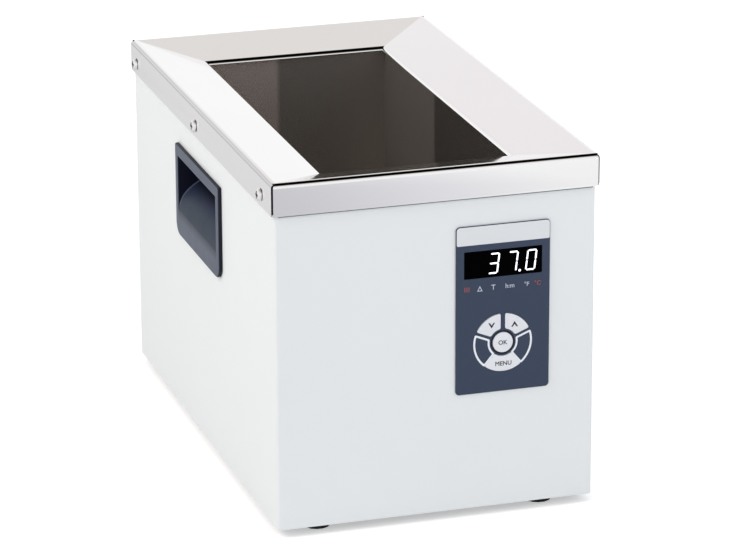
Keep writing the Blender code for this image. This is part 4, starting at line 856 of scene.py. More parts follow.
@dataclass
class Casing:
    """The coated sheet round the front and sides, and the screws that close its back.

    The casing is one folded outline carried up Z, cut for the grips and the key panel.
    """

    sheet: float = 1.2 * MM
    bend: float = 2.2 * MM
    rear_flange: float = 14 * MM
    panel_lap: float = 3 * MM
    panel_corner: float = 2.6 * MM
    cup_wall: float = 2.6 * MM
    cup_corner: float = 5.6 * MM
    hook: float = 5 * MM
    borders: tuple[float, float, float] = (6.5 * MM, 9 * MM, 15 * MM)
    rear_screw: Pair = (3.2 * MM, 1.6 * MM)
    rear_screw_rise: float = 12 * MM
    rear_screw_drop: float = 26.8 * MM

    def build(self) -> None:
        """Makes the casing and its rear screws."""
        low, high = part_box("casing")
        ends = [(high.x - self.rear_flange, high.y), (low.x + self.rear_flange, high.y)]
        sides = [(high.x, high.y), (high.x, low.y), (low.x, low.y), (low.x, high.y)]
        outline = fold([ends[0], *sides, ends[1]], (self.bend,) * len(sides), self.sheet)
        shell = slab("casing_sheet", outline, Axis.Z, low.z, high.z)
        dress(carve(shell, self.grip_hole(), self.panel_hole()), POWDER, "casing")
        self.build_rear_screws()

    def grip_hole(self) -> Solid:
        """Cutter through both sides, round the cups of the grips.

        Returns:
            The cutter.
        """
        low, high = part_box("grip_left")
        end, top, bottom = self.borders
        width = high.y - low.y - 2 * end + 2 * self.cup_wall
        lower, upper = low.z + bottom - self.cup_wall, high.z - top + self.hook + self.cup_wall
        middle = ((low.y + high.y) / 2, (lower + upper) / 2)
        outline = rounded((width, upper - lower), self.cup_corner, middle)
        reach = -low.x + OVERRUN
        return slab("grip_hole", outline, Axis.X, -reach, reach)

    def panel_hole(self) -> Solid:
        """Cutter through the front behind the key panel's border.

        Returns:
            The cutter.
        """
        box = Box.of("panel_housing")
        outline = rounded(box.size(Axis.Y) - 2 * self.panel_lap, self.panel_corner, box.middle(Axis.Y))
        return slab("panel_hole", outline, Axis.Y, box.low.y - OVERRUN, box.low.y + 2 * OVERRUN)

    def build_rear_screws(self) -> None:
        """Three pan-headed screws down each flange at the back, which hold the rear panel."""
        low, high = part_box("casing")
        levels = {
            "low": low.z + self.rear_screw_rise,
            "middle": (low.z + high.z) / 2,
            "high": high.z - self.rear_screw_drop,
        }
        screw = PanScrew(*self.rear_screw)
        for side in Side:
            for place, z in levels.items():
                seat = Seat(Axis.Y, (side.value * (high.x - self.rear_flange / 2), z), high.y, 1)
                dress(screw.make(f"rear_screw_{side.label}_{place}", seat), FASTENER)


@dataclass(frozen=True)
class Seat:
    """Where a screw's head sits: on a face across an axis, pointing up or down that axis."""

    axis: Axis
    middle: Pair
    face: float
    outward: int

    def level(self, height: float) -> float:
        """The level at that height over the face."""
        return self.face + self.outward * height


@dataclass(frozen=True)
class PanScrew:
    """The head of a pan-headed screw: a low dome turned round its axis, with a cross recess.

    The dome's radius is the head's times the square root of 1 - (drop t) squared, with t the share
    of its height.
    """

    radius: float
    height: float
    drop: float = 0.8
    recess_share: float = 0.6
    arm_share: float = 0.16
    recess_floor: float = 0.45
    sides: int = 32
    dome_rings: int = 7

    def make(self, name: str, seat: Seat, shank: float = 0) -> Solid:
        """Makes a head on its seat.

        Args:
            name: The head's name.
            seat: Where it sits.
            shank: How far its shank reaches behind the face.

        Returns:
            The head.
        """
        shares = np.linspace(0, 1, self.dome_rings)
        dome = [(self.height * t, self.radius * np.sqrt(1 - (self.drop * t) ** 2)) for t in shares]
        if shank:
            dome = [(-shank, self.radius / 2), (0, self.radius / 2), *dome]
        rings = [
            stand(circle(wide, seat.middle, self.sides), seat.axis, seat.level(rise))
            for rise, wide in dome
        ]
        bottom, beyond = seat.level(self.height * self.recess_floor), seat.level(self.height + OVERRUN)
        return carve(loft(name, rings), slab("recess_tool", self.cross(seat), seat.axis, bottom, beyond))

    def shade(self, name: str, seat: Seat) -> Solid:
        """Painted shade: a thin dark slab at the bottom of the recess of a head on that seat."""
        bottom = self.height * self.recess_floor
        return slab(name, self.cross(seat), seat.axis, seat.level(bottom - GAP), seat.level(bottom + GAP))

    def cross(self, seat: Seat) -> np.ndarray:
        """The outline of the cross recess: one arm's corners, turned by 90 degrees three times.

        Args:
            seat: Where the head sits.

        Returns:
            The outline.
        """
        reach, half = self.radius * self.recess_share, self.radius * self.arm_share
        quarters = [np.array([(reach, -half), (reach, half), (half, half)])]
        for _ in range(3):
            quarters.append(np.stack([-quarters[-1][:, 1], quarters[-1][:, 0]], axis=1))
        return np.concatenate(quarters) + seat.middle


@dataclass(frozen=True)
class RimScrew:
    """The screws through the rim's outer flange, three on each side."""

    height: float = 2.2 * MM
    shank: float = 3.5 * MM
    growth: float = 0.4 * MM

    def build(self) -> None:
        """Makes each head over its node's own place, with painted shade in its recess."""
        for side in Side:
            for place in ("front", "middle", "rear"):
                node = f"rim_screw_{side.label}_{place}"
                box = Box.of(node)
                head = PanScrew((box.high.y - box.low.y) / 2 + self.growth, self.height)
                crown = box.high.x if side is Side.RIGHT else -box.low.x
                seat = Seat(Axis.X, box.middle(Axis.X), side.value * (crown - self.height), side.value)
                dress(head.make(f"{node}_head", seat, self.shank), FASTENER, node)
                # painted shade: a dark slab at the bottom of the cross recess
                dress(head.shade(f"{node}_recess", seat), DARK_PRINT_AND_SHADE)


@dataclass
class Rim:
    """The funnel rim: one folded profile carried round four sides, mitred at the corners.

    Its outer flange is open at each corner, and the flange's lower corners are rounded.
    """

    sheet: float = 1.2 * MM
    bend: float = 3.2 * MM
    drop: float = 10 * MM
    lip: float = 2.0 * MM
    lip_bend: float = 3.8 * MM
    lip_lean: float = 0.9 * MM
    flange: float = 22.4 * MM
    widths: Pair = (45 * MM, 43 * MM)
    seam: float = 1.5 * MM
    seam_stop: float = 1.9 * MM
    corner: float = 2 * MM
    seam_shade_radius: float = 0.8 * MM
    shadow_line: float = 0.7 * MM
    shadow_line_end: float = 2.6 * MM
    shadow_line_clearance: float = 0.03 * MM
    tuck: float = 1 * MM
    sharp: float = 12
    bend_steps: int = 14

    @property
    def box(self) -> Box:
        """The rim's box in the frame."""
        return Box.of("rim_frame")

    @property
    def top(self) -> float:
        """Level of the rim's upper fold."""
        return self.box.low.z + self.flange

    def build(self) -> None:
        """Makes the rim, cuts its seams and seals them."""
        high = self.box.high
        side_width, end_width = self.widths
        lip = (side_width + self.lip_lean, -self.drop - self.lip)
        path = [(0, -self.flange), (0, 0), (side_width, -self.drop), lip]
        inward, level = fold(path, (self.bend, self.lip_bend), self.sheet, self.bend_steps).T
        share = np.clip((inward - self.bend) / (side_width - 2 * self.bend), 0, 1)
        inward_end = inward + share * (end_width - side_width)
        reach = np.stack([high.x - inward, high.y - inward_end], axis=1)
        rings = [np.column_stack([reach * corner, level + self.top]) for corner in CORNERS]
        rim = loft("rim_sheet", rings, closed=True, sharp=self.sharp)
        carve(rim, *(tool for sx in (-1, 1) for sy in (-1, 1) for tool in self.corner_tools(sx, sy)))
        smooth(rim, self.sharp)
        dress(rim, POLISHED, "rim_frame")
        self.build_painted_shade()

    def build_painted_shade(self) -> None:
        """Makes the painted shade behind each open seam, a dark rod, and the painted shadow lines under the
        flange's ends.
        """
        low, high = self.box.low, self.box.high
        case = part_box("casing")[1]
        nook = (high.x - self.sheet + case.x) / 2 - self.seam_shade_radius / 2
        # painted shade: a dark rod behind each open seam, where the gap is in shade
        for sx in (-1, 1):
            for sy in (-1, 1):
                outline = circle(self.seam_shade_radius, (sx * nook, sy * (nook - case.x + case.y)), sides=24)
                ends = (low.z + self.tuck, self.top - self.seam_stop + self.tuck)
                dress(slab("corner_seal", outline, Axis.Z, *ends), DARK_PRINT_AND_SHADE)
        # painted shadow: a grey line under the front and rear flanges, for their shadow on the casing
        middle = (0, low.z + (self.tuck - self.shadow_line) / 2)
        outline = rectangle(2 * (case.x - self.shadow_line_end), self.shadow_line + self.tuck, middle)
        for sy in (-1, 1):
            ends = (sy * (case.y + self.shadow_line_clearance), sy * (high.y - GAP))
            dress(slab("rim_shadow_line", outline, Axis.Y, *ends), FLANGE_SHADOW)

    def corner_tools(self, sx: int, sy: int) -> list[Solid]:
        """Cutters for one corner: the open seam along its diagonal and the two rounded lower corners.

        Args:
            sx: Sign of the corner's X.
            sy: Sign of its Y.

        Returns:
            Three cutters.
        """
        low, high = self.box.low, self.box.high
        along = np.array([sx, sy]) / np.sqrt(2) * self.bend
        across = np.array([-sy, sx]) / np.sqrt(2) * self.seam / 2
        slot = np.stack([along + across, across - along, -along - across, along - across])
        corner = (sx * high.x, sy * high.y)
        tools = [slab("seam_tool", slot + corner, Axis.Z, low.z - OVERRUN, self.top - self.seam_stop)]
        upper, lower = low.z + self.corner, low.z - OVERRUN
        for axis, reach, sign, face in (
            (Axis.Y, high.x, sx, corner[1]),
            (Axis.X, high.y, sy, corner[0]),
        ):
            inner, outer = sign * (reach - self.corner), sign * (reach + OVERRUN)
            quarter = arc((inner, upper), self.corner, 270, 270 + 90 * sign)
            outline = np.concatenate([quarter, [(outer, upper), (outer, lower), (inner, lower)]])
            levels = sorted((face + np.sign(face) * GAP, face - np.sign(face) * (self.sheet + GAP)))
            tools.append(slab("corner_tool", outline, axis, *levels))
        return tools


@dataclass
class Tank:
    """The bath: walls and floor as one surface of rounded outlines, carried in, down and back up."""

    sheet: float = 1 * MM
    corner: float = 0.8 * MM
    floor_bend: float = 5 * MM
    flange: float = 13 * MM
    studs: float = 9 * MM
    jacket_gap: float = 0.5 * MM
    jacket_edge: float = 2.5 * MM

    @property
    def half(self) -> np.ndarray:
        """Half of the bath's inner width and length."""
        return np.array(Box.of("tank").high)[:2] - self.sheet - self.flange

    def ring(self, grow: float, level: float) -> np.ndarray:
        """The bath's inner outline drawn out by a distance, at a level."""
        return stand(rounded(2 * (self.half + grow), max(self.corner + grow, GAP), steps=6), Axis.Z, level)

    def build(self) -> None:
        """Makes the tank with a finely rounded floor edge, and its jacket."""
        low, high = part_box("tank")
        centre = (-self.floor_bend, low.z + self.studs + self.sheet + self.floor_bend)
        out, under = self.sheet + self.flange, high.z - self.sheet
        lip = [(0, high.z), (out, high.z), (out, under), (self.sheet, under)]
        inside = arc(centre, self.floor_bend, -90, 0)
        outside = arc(centre, self.floor_bend + self.sheet, 0, -90)
        rings = [self.ring(*point) for point in np.concatenate([inside, lip, outside])]
        dress(loft("bath_shell", rings), BATH, "tank")
        self.build_jacket()

    def build_jacket(self) -> None:
        """Makes the foam sleeve round the walls, with the rounded edges of cut foam."""
        low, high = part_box("insulation_jacket")
        inner, outer = self.sheet + self.jacket_gap, high.x - self.half[0]
        middle = ((inner + outer) / 2, (low.z + high.z) / 2)
        section = rounded((outer - inner, high.z - low.z), self.jacket_edge, middle, steps=4)
        sleeve = loft("foam_sleeve", [self.ring(*point) for point in section], closed=True)
        dress(sleeve, FOAM, "insulation_jacket")


@dataclass
class Grip:
    """A moulded grip: a border on the casing and a scooped cup behind it, which hooks up inside.

    The scoop runs with s from 0 to 1 through depth = d s^1.6 and height = h s^0.5, so that it leaves
    the border's face without a crease.
    """

    side: Side
    proud: float = 2.7 * MM
    edge: float = 0.4 * MM
    land: float = 2.5 * MM
    hook: float = 3.4 * MM
    wall: float = 2.2 * MM
    end_border: float = 6.5 * MM
    top_border: float = 7.4 * MM
    lower_border: float = 11.5 * MM
    pocket_corner: float = 3 * MM
    border_corners: Pair = (9 * MM, 1.4 * MM)
    seal: float = 0.25 * MM
    scoop_height: float = 30.5 * MM
    scoop_powers: Pair = (1.6, 0.5)
    scoop_points: int = 25

    @property
    def node(self) -> str:
        """The grip's node in the frame."""
        return f"grip_{self.side.label}"

    @property
    def box(self) -> Box:
        """That node's box."""
        return Box.of(self.node)

    def out(self, depth: float) -> float:
        """X of the place that lies that deep behind the border's face."""
        face = max(abs(self.box.low.x), abs(self.box.high.x))
        return self.side.value * (face - depth)

    def build(self) -> None:
        """Makes the grip in its node's place, and a dark ring round its border as painted shade of the gap.
        """
        lower, upper = self.border_corners
        outline = rounded(self.box.size(Axis.X), (lower, lower, upper, upper), self.box.middle(Axis.X))
        foot, crest = self.out(self.proud - GAP), self.out(self.edge + self.seal)
        grip = slab(f"{self.node}_moulding", outline, Axis.X, foot, self.out(0), self.edge)
        carve(grip, self.cavity(self.wall), how=Cut.JOIN)
        carve(grip, self.cavity(0))
        dress(grip, GRIP, self.node)
        # painted shade: a dark ring round the border, for the shade of its gap to the casing
        wide, narrow = inset(outline, -self.seal), inset(outline, self.seal)
        corners = ((wide, foot), (wide, crest), (narrow, crest), (narrow, foot))
        rings = [stand(ring, Axis.X, level) for ring, level in corners]
        dress(loft(f"{self.node}_seal", rings, closed=True), DARK_PRINT_AND_SHADE)

    def cavity(self, wall: float) -> Solid:
        """The pocket's space, or with a wall the cup round it.

        Args:
            wall: How far outside the pocket the solid's skin lies.

        Returns:
            The solid.
        """
        low, high = self.box.low, self.box.high
        depth = high.x - low.x - self.wall
        bottom, top = low.z + self.lower_border, high.z - self.top_border
        powers = np.linspace(0, 1, self.scoop_points)[:, None] ** np.array(self.scoop_powers)
        scoop = np.array([0, bottom]) + np.array([depth, self.scoop_height]) * powers
        ceiling = top + self.hook + OVERRUN
        if wall:
            start = self.proud / 2 + wall
            parts = [[(start, ceiling), (start, bottom)], scoop[scoop[:, 0] > start], [(depth, ceiling)]]
            section = inset(np.concatenate(parts), -wall)
        else:
            upper = [(depth, ceiling), (self.land, ceiling), (self.land, top)]
            section = np.concatenate([[(-OVERRUN, top), (-OVERRUN, bottom)], scoop, upper])
        section[:, 0] = self.out(section[:, 0])
        shape = slab("cavity", section, Axis.Y, low.y, high.y)
        width, height = high.y - low.y - 2 * self.end_border, top + self.hook - bottom
        middle = ((low.y + high.y) / 2, (bottom + top + self.hook) / 2)
        edges = rounded((width + 2 * wall, height + 2 * wall), self.pocket_corner + wall, middle)
        keep = slab("cavity_edges", edges, Axis.X, self.out(-depth), self.out(2 * depth))
        return carve(shape, keep, how=Cut.KEEP)


def print_on(
    name: str,
    outline: np.ndarray,
    level: float,
    look: Look,
    body: str = "root",
    hole: np.ndarray | None = None,
) -> None:
    """A thin print or lit shape on a face that looks to -Y.

    Args:
        name: The piece's name.
        outline: Its outline in X and Z.
        level: Y of the face that it lies on.
        look: Its look.
        body: The body that it rides on.
        hole: The outline of the hole in it, if it has one.
    """
    piece = slab(name, outline, Axis.Y, level + PRINT / 2, level - PRINT)
    if hole is not None:
        carve(piece, slab("hole_tool", hole, Axis.Y, level + OVERRUN, level - OVERRUN))
    dress(piece, look, body=body)


def letter(
    name: str, words: str, height: float, middle: Pair, level: float, look: Look, body: str = "root"
) -> None:
    """Printed letters or digits on a face that looks to -Y.

    Args:
        name: The piece's name.
        words: What is printed.
        height: Height of a capital letter.
        middle: X and Z of the middle of the print.
        level: Y of the face.
        look: Its look.
        body: The body that it rides on.
    """
    curve = bpy.data.curves.new(name, "FONT")
    curve.body, curve.size, curve.extrude = words, height / CAPITAL_SHARE, PRINT
    curve.bevel_depth, curve.bevel_resolution, curve.resolution_u = STROKE_SHARE * height, 0, 4
    source = linked(name, curve)
    mesh = baked(source)
    bpy.data.objects.remove(source)
    mesh.materials.clear()
    points = np.array([vertex.co for vertex in mesh.vertices])
    centre = Vector((points.min(axis=0) + points.max(axis=0)) / 2)
    place = Matrix.Translation((middle[0], level, middle[1]))
    mesh.transform(place @ Matrix.Rotation(np.pi / 2, 4, "X") @ Matrix.Translation(-centre))
    dress(linked(name, mesh), look, body=body)


def ring_sector(
    middle: Pair,
    radii: Pair,
    angles: Pair,
    offsets: Pair,
    corner: float,
    growth: float = 0,
    steps: tuple[int, int] = (24, 5),
) -> np.ndarray:
    """Outline of a piece of a ring, with its four corners drawn round.

    Its straight edges run beside the rays at the two angles, each at its offset from its ray. A
    corner at c is the curve (1-t)^2 a + 2t(1-t) c + t^2 b between the points a and b beside it.

    Args:
        middle: The ring's middle.
        radii: Its inner and outer radius.
        angles: First and last ray, in degrees.
        offsets: How far each straight edge stands from its ray.
        corner: How much of each side a corner takes.
        growth: How far the outline is grown.
        steps: Chords of each arc and of each corner.

    Returns:
        The counter-clockwise outline.
    """

    def place(radius: float, angle: np.ndarray | float) -> np.ndarray:
        """The point at that radius and angle."""
        return np.asarray(middle) + radius * np.stack([np.cos(angle), np.sin(angle)], axis=-1)

    def crossing(radius: float, ray: int) -> float:
        """Angle at which the straight edge beside a ray crosses that radius."""
        return np.radians(angles[ray]) + (1 - 2 * ray) * np.arcsin((offsets[ray] - growth) / radius)

    def blend(before: np.ndarray, at: np.ndarray, after: np.ndarray) -> np.ndarray:
        """The rounded corner between two points."""
        t = np.linspace(0, 1, steps[1] + 1)[:, None]
        return (1 - t) ** 2 * before + 2 * t * (1 - t) * at + t**2 * after

    parts = []
    for radius, first, last, sign in ((radii[1] + growth, 0, 1, 1), (radii[0] - growth, 1, 0, -1)):
        start, end, step = crossing(radius, first), crossing(radius, last), sign * corner / radius
        drawn = radius - sign * corner
        before, after = place(drawn, crossing(drawn, first)), place(drawn, crossing(drawn, last))
        parts.append(blend(before, place(radius, start), place(radius, start + step)))
        parts.append(place(radius, np.linspace(start + step, end - step, steps[0] + 1))[1:-1])
        parts.append(blend(place(radius, end - step), place(radius, end), after))
    return np.concatenate(parts)


@dataclass
class Keys:
    """The four keys and the blank fields between them, round one middle."""

    middle: np.ndarray
    ring: Pair = (9 * MM, 20.1 * MM)
    ok_radius: float = 7.2 * MM
    ok_line: float = 0.9 * MM
    split: float = 1.2 * MM
    gap: float = 0.8 * MM
    corner: float = 1.2 * MM
    edge: float = 0.35 * MM
    clearance: float = 0.35 * MM
    lip: float = 0.6 * MM
    lip_thickness: float = 0.8 * MM
    upper_start: float = 22
    menu_half: float = 40
    overlap: float = 0.6 * MM
    band: float = 1.3 * MM
    word_height: float = 2.9 * MM
    menu_place: Pair = (0.4 * MM, -14.4 * MM)
    up_place: Pair = (7.9 * MM, 12 * MM)
    down_place: Pair = (-7.8 * MM, 12.2 * MM)
    arrow_size: Pair = (2.3 * MM, 1.9 * MM)
    arrow_stroke: float = 1.05 * MM

    def outline(self, key: str, growth: float = 0) -> np.ndarray:
        """Outline of a key's opening.

        Args:
            key: The key's node.
            growth: How far the outline is grown.

        Returns:
            The outline.
        """
        if key == "key_ok":
            return circle(self.ok_radius + growth, self.middle, sides=64)
        angles, offsets = {
            "key_up": ((self.upper_start, 90), (self.gap, self.split)),
            "key_down": ((90, 180 - self.upper_start), (self.split, self.gap)),
            "key_menu": ((-90 - self.menu_half, -90 + self.menu_half), (0, 0)),
        }[key]
        return ring_sector(self.middle, self.ring, angles, offsets, self.corner, growth)

    def build(self) -> None:
        """Makes the caps with their prints, and the lines on the panel between them."""
        for key in KEYS:
            low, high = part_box(key)
            lip_face = high.y - self.lip_thickness
            section = [(self.lip, high.y), (self.lip, lip_face), (-self.clearance, lip_face)]
            section += arc((-self.clearance - self.edge, low.y + self.edge), self.edge, 0, -90, 3).tolist()
            rings = [stand(self.outline(key, growth), Axis.Y, level) for growth, level in section]
            dress(loft(f"{key}_cap", rings), KEYCAP, key, body=key)
        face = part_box("key_ok")[0].y
        letter("key_ok_print", "OK", self.word_height, self.middle, face, INK, "key_ok")
        place = self.middle + self.menu_place
        letter("key_menu_print", "MENU", self.word_height, place, face, INK, "key_menu")
        self.build_arrow("key_up", self.middle + self.up_place, 1, face)
        self.build_arrow("key_down", self.middle + self.down_place, -1, face)
        self.build_fields(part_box("panel_housing")[0].y)

    def build_arrow(self, key: str, at: np.ndarray, up: int, face: float) -> None:
        """The open arrowhead printed on an upper key: a chevron of one stroke width.

        Args:
            key: The key's node.
            at: The arrow's middle.
            up: 1 if it points up, -1 if down.
            face: Y of the key's face.
        """
        half, rise = self.arrow_size
        line = np.array([(-half, -rise), (0, rise), (half, -rise)])
        lower = line + self.arrow_stroke * np.array([(1, 0), (0, -2), (-1, 0)])
        outline = np.concatenate([lower, line[::-1]]) * np.array([1, up])
        print_on(f"{key}_print", outline[::up] + at, face, INK, key)

    def build_fields(self, face: float) -> None:
        """A white line round each blank field beside the menu key, and the dark ring round the OK key.

        Args:
            face: Y of the panel's face.
        """
        left = ((180 - self.upper_start, 270 - self.menu_half), (self.gap, -self.overlap))
        right = ((-90 + self.menu_half, self.upper_start), (-self.overlap, self.gap))
        for side, (angles, offsets) in zip(Side, (left, right)):
            outer = ring_sector(self.middle, self.ring, angles, offsets, self.corner)
            inner = ring_sector(self.middle, self.ring, angles, offsets, self.corner / 2, -self.band)
            print_on(f"field_line_{side.label}", outer, face, WHITE_PRINT, hole=inner)
        grown = self.outline("key_ok", self.ok_line)
        print_on("ok_ring", grown, face, DARK_PRINT_AND_SHADE, hole=self.outline("key_ok"))


@dataclass
class KeyPanel:
    """The key panel: its housing, the pale strip, the window with its lit digits, and the marks.

    Places on it are given as how far right of its middle and how far under its top they lie.
    """

    plate: float = 2 * MM
    proud: float = 1.2 * MM
    corner: float = 2.6 * MM
    fine_corner: float = 0.6 * MM
    lap: float = 3 * MM
    wall: float = 1.5 * MM
    edge: float = 0.4 * MM
    pane_edge: float = 0.1 * MM
    strip_growth: float = 0.4 * MM
    digits: tuple[str, ...] = ("abcdef", "abc", "abcdg")
    digit_size: Pair = (6.9 * MM, 14.1 * MM)
    digit_place: Pair = (19.15 * MM, 26.4 * MM)
    digit_pitch: float = 12.7 * MM
    digit_slant: float = 0.12
    segment: float = 1.05 * MM
    segment_gap: float = 0.12 * MM
    point_radius: float = 0.85 * MM
    point_place: Pair = (11.3 * MM, 32.9 * MM)
    mark_drop: float = 42.6 * MM
    word_rise: float = 0.1 * MM
    bar_size: Pair = (0.6 * MM, 3.3 * MM)
    bar_places: tuple[float, ...] = (-26 * MM, -24.6 * MM, -23.2 * MM)
    alarm_place: float = -15.8 * MM
    alarm_half: float = 1.9 * MM
    alarm_stroke: float = 0.55 * MM
    words: tuple[tuple[str, str, float, float, Look], ...] = (
        ("timer", "T", 3.4 * MM, -6.6 * MM, MARK_PRINT),
        ("hours", "h:m", 3 * MM, 4.7 * MM, MARK_PRINT),
        ("fahrenheit", "°F", 2.8 * MM, 16.2 * MM, MARK_PRINT),
        ("celsius", "°C", 2.9 * MM, 23.6 * MM, LIT_RED),
    )

    @property
    def box(self) -> Box:
        """The housing's box in the frame."""
        return Box.of("panel_housing")

    def at(self, across: float, under: float) -> np.ndarray:
        """X and Z of a place on the panel."""
        return np.array([self.box.middle(Axis.Y)[0] + across, self.box.high.z - under])

    def pane(self, growth: float = 0) -> np.ndarray:
        """Outline of the window, grown by some length, with finely rounded corners."""
        box = Box.of("display_window")
        return rounded(box.size(Axis.Y) + 2 * growth, self.fine_corner, box.middle(Axis.Y))

    def build(self) -> None:
        """Makes the panel and everything on it."""
        keys = Keys(Box.of("key_ok").middle(Axis.Y))
        self.build_housing(keys)
        self.build_strip()
        self.build_window()
        self.build_marks()
        keys.build()

    def build_housing(self, keys: Keys) -> None:
        """The border plate with its box, cut for the window and the keys.

        Args:
            keys: The keys, which know their openings.
        """
        size, middle = self.box.size(Axis.Y), self.box.middle(Axis.Y)
        face, back = self.box.low.y, self.box.high.y

        def inside(shrink: float) -> np.ndarray:
            """Outline of the box behind the plate, drawn in."""
            return rounded(size - 2 * (self.lap + shrink), max(self.corner - shrink, GAP), middle)

        border = rounded(size, self.corner, middle)
        housing = slab("panel_moulding", border, Axis.Y, face + self.proud - GAP, face, self.edge)
        carve(housing, slab("panel_box", inside(GAP), Axis.Y, face + self.proud / 2, back), how=Cut.JOIN)
        tools = [slab("hollow", inside(GAP + self.wall), Axis.Y, face + self.plate, back + OVERRUN)]
        for outline in (self.pane(GAP), *map(keys.outline, KEYS)):
            tools.append(slab("hole", outline, Axis.Y, face - OVERRUN, face + self.plate + OVERRUN))
        dress(carve(housing, *tools), FIELD, "panel_housing")

    def build_strip(self) -> None:
        """The pale strip along the upper edge, which overlaps the border round it a little."""
        box = Box.of("header_strip")
        upper = self.corner - (self.box.high.z - box.high.z)
        radii = (self.fine_corner, self.fine_corner, upper, upper)
        outline = inset(rounded(box.size(Axis.Y), radii, box.middle(Axis.Y)), -self.strip_growth)
        strip = slab("header_film", outline, Axis.Y, box.high.y, box.low.y - PRINT, PRINT / 2)
        dress(strip, HEADER, "header_strip")

    def build_window(self) -> None:
        """The window with three lit digits and a point."""
        low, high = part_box("display_window")
        window = slab("display_pane", self.pane(), Axis.Y, high.y, low.y, self.pane_edge)
        dress(window, WINDOW, "display_window")
        across, under = self.digit_place
        for order, lit in enumerate(self.digits):
            self.build_digit(f"digit_{order}", self.at(across - order * self.digit_pitch, under), lit, low.y)
        point = circle(self.point_radius, self.at(*self.point_place), sides=20)
        print_on("digit_point", point, low.y, LIT_WHITE)

    def build_digit(self, name: str, at: np.ndarray, lit: str, level: float) -> None:
        """One seven-segment digit: six-sided bars along the lines of a slanted frame of two squares.

        Args:
            name: The piece's name.
            at: The digit's middle.
            lit: Letters of the lit segments, a at the top and then clockwise, g across the middle.
            level: Y of the window's face.
        """
        rings = []
        for mark in lit:
            start, end = np.array(SEGMENTS[mark]) * (np.array(self.digit_size) - self.segment) / 2
            along = (end - start) / np.linalg.norm(end - start)
            across = np.array([-along[1], along[0]]) * self.segment / 2
            tip, shoulder = along * self.segment_gap, along * (self.segment / 2 + self.segment_gap)
            right = [start + tip, start + shoulder - across, end - shoulder - across]
            bar = np.array([*right, end - tip, end - shoulder + across, start + shoulder + across])
            bar[:, 0] += bar[:, 1] * self.digit_slant
            rings += [stand(bar + at, Axis.Y, level + PRINT / 2), stand(bar + at, Axis.Y, level - PRINT)]
        near = np.arange(6)
        following = (near + 1) % 6
        sides = np.stack([near, following, following + 6, near + 6], axis=1).tolist()
        bar = [*sides, near[::-1].tolist(), (near + 6).tolist()]
        starts = range(0, 12 * len(lit), 12)
        faces = [tuple(start + corner for corner in face) for start in starts for face in bar]
        dress(make_object(name, np.concatenate(rings), faces), LIT_WHITE)

    def build_marks(self) -> None:
        """The marks of the six lamps: heating, alarm, timer, hours and minutes, and the two degrees."""
        face = self.box.low.y
        for order, across in enumerate(self.bar_places):
            bar = rectangle(*self.bar_size, self.at(across, self.mark_drop))
            print_on(f"mark_heating_{order}", bar, face, LIT_RED)
        triangle = np.array([(-1, -1), (1, -1), (0, 1)]) * self.alarm_half
        triangle = triangle + self.at(self.alarm_place, self.mark_drop)
        print_on("mark_alarm", triangle, face, MARK_PRINT, hole=inset(triangle, self.alarm_stroke))
        for name, words, height, across, look in self.words:
            place = self.at(across, self.mark_drop - self.word_rise)
            letter(f"mark_{name}", words, height, place, face, look)


@dataclass
class Rocker:
    """The marks on the power rocker, whose two faces slope down to a valley at its pivot."""

    rest_angle: float = -9
    length: float = 20 * MM
    valley: float = 0.9 * MM
    pivot: tuple[float, float, float] = (58 * MM, 175.5 * MM, 65.5 * MM)
    pivot_depth: float = 5 * MM
    bar_size: Pair = (0.9 * MM, 4.2 * MM)
    ring_radii: Pair = (2.2 * MM, 1.4 * MM)

    def build(self) -> None:
        """Prints a bar on the lower face and a ring on the upper one."""
        outer, inner = (circle(radius, sides=32) for radius in self.ring_radii)
        self.print_mark("rocker_on", rectangle(*self.bar_size), -1)
        self.print_mark("rocker_off", outer, 1, inner)

    def print_mark(self, name: str, outline: np.ndarray, end: int, hole: np.ndarray | None = None) -> None:
        """A white mark on one of the rocker's two faces, tilted with it.

        The face runs from the valley at the pivot's height out to the end, where it stands higher by
        the valley's depth. A point (x, t, h) of the mark, with t along the face from the pivot and h
        above it, is turned by the face's own slope and then by the rocker's rest angle about X.

        Args:
            name: The piece's name.
            outline: The mark's outline.
            end: 1 for the upper end, -1 for the lower.
            hole: The outline of the hole in it, if it has one.
        """
        half = self.length / 2
        mark = slab(name, outline, Axis.Z, -PRINT / 2, PRINT)
        if hole is not None:
            carve(mark, slab("hole_tool", hole, Axis.Z, -OVERRUN, OVERRUN))
        flat = Matrix(((-1, 0, 0, 0), (0, 0, 1, 0), (0, 1, 0, 0), (0, 0, 0, 1)))
        tilt = Matrix.Rotation(-end * np.arctan2(self.valley, half), 4, "X")
        lift = Matrix.Translation((0, self.pivot_depth + self.valley / 2, end * half / 2))
        rest = Matrix.Rotation(np.radians(self.rest_angle), 4, "X")
        mark.data.transform(Matrix.Translation(self.pivot) @ rest @ lift @ tilt @ flat)
        face_outwards(mark)
        smooth(mark)
        dress(mark, WHITE_PRINT, body="power_rocker", slot="black_plastic")


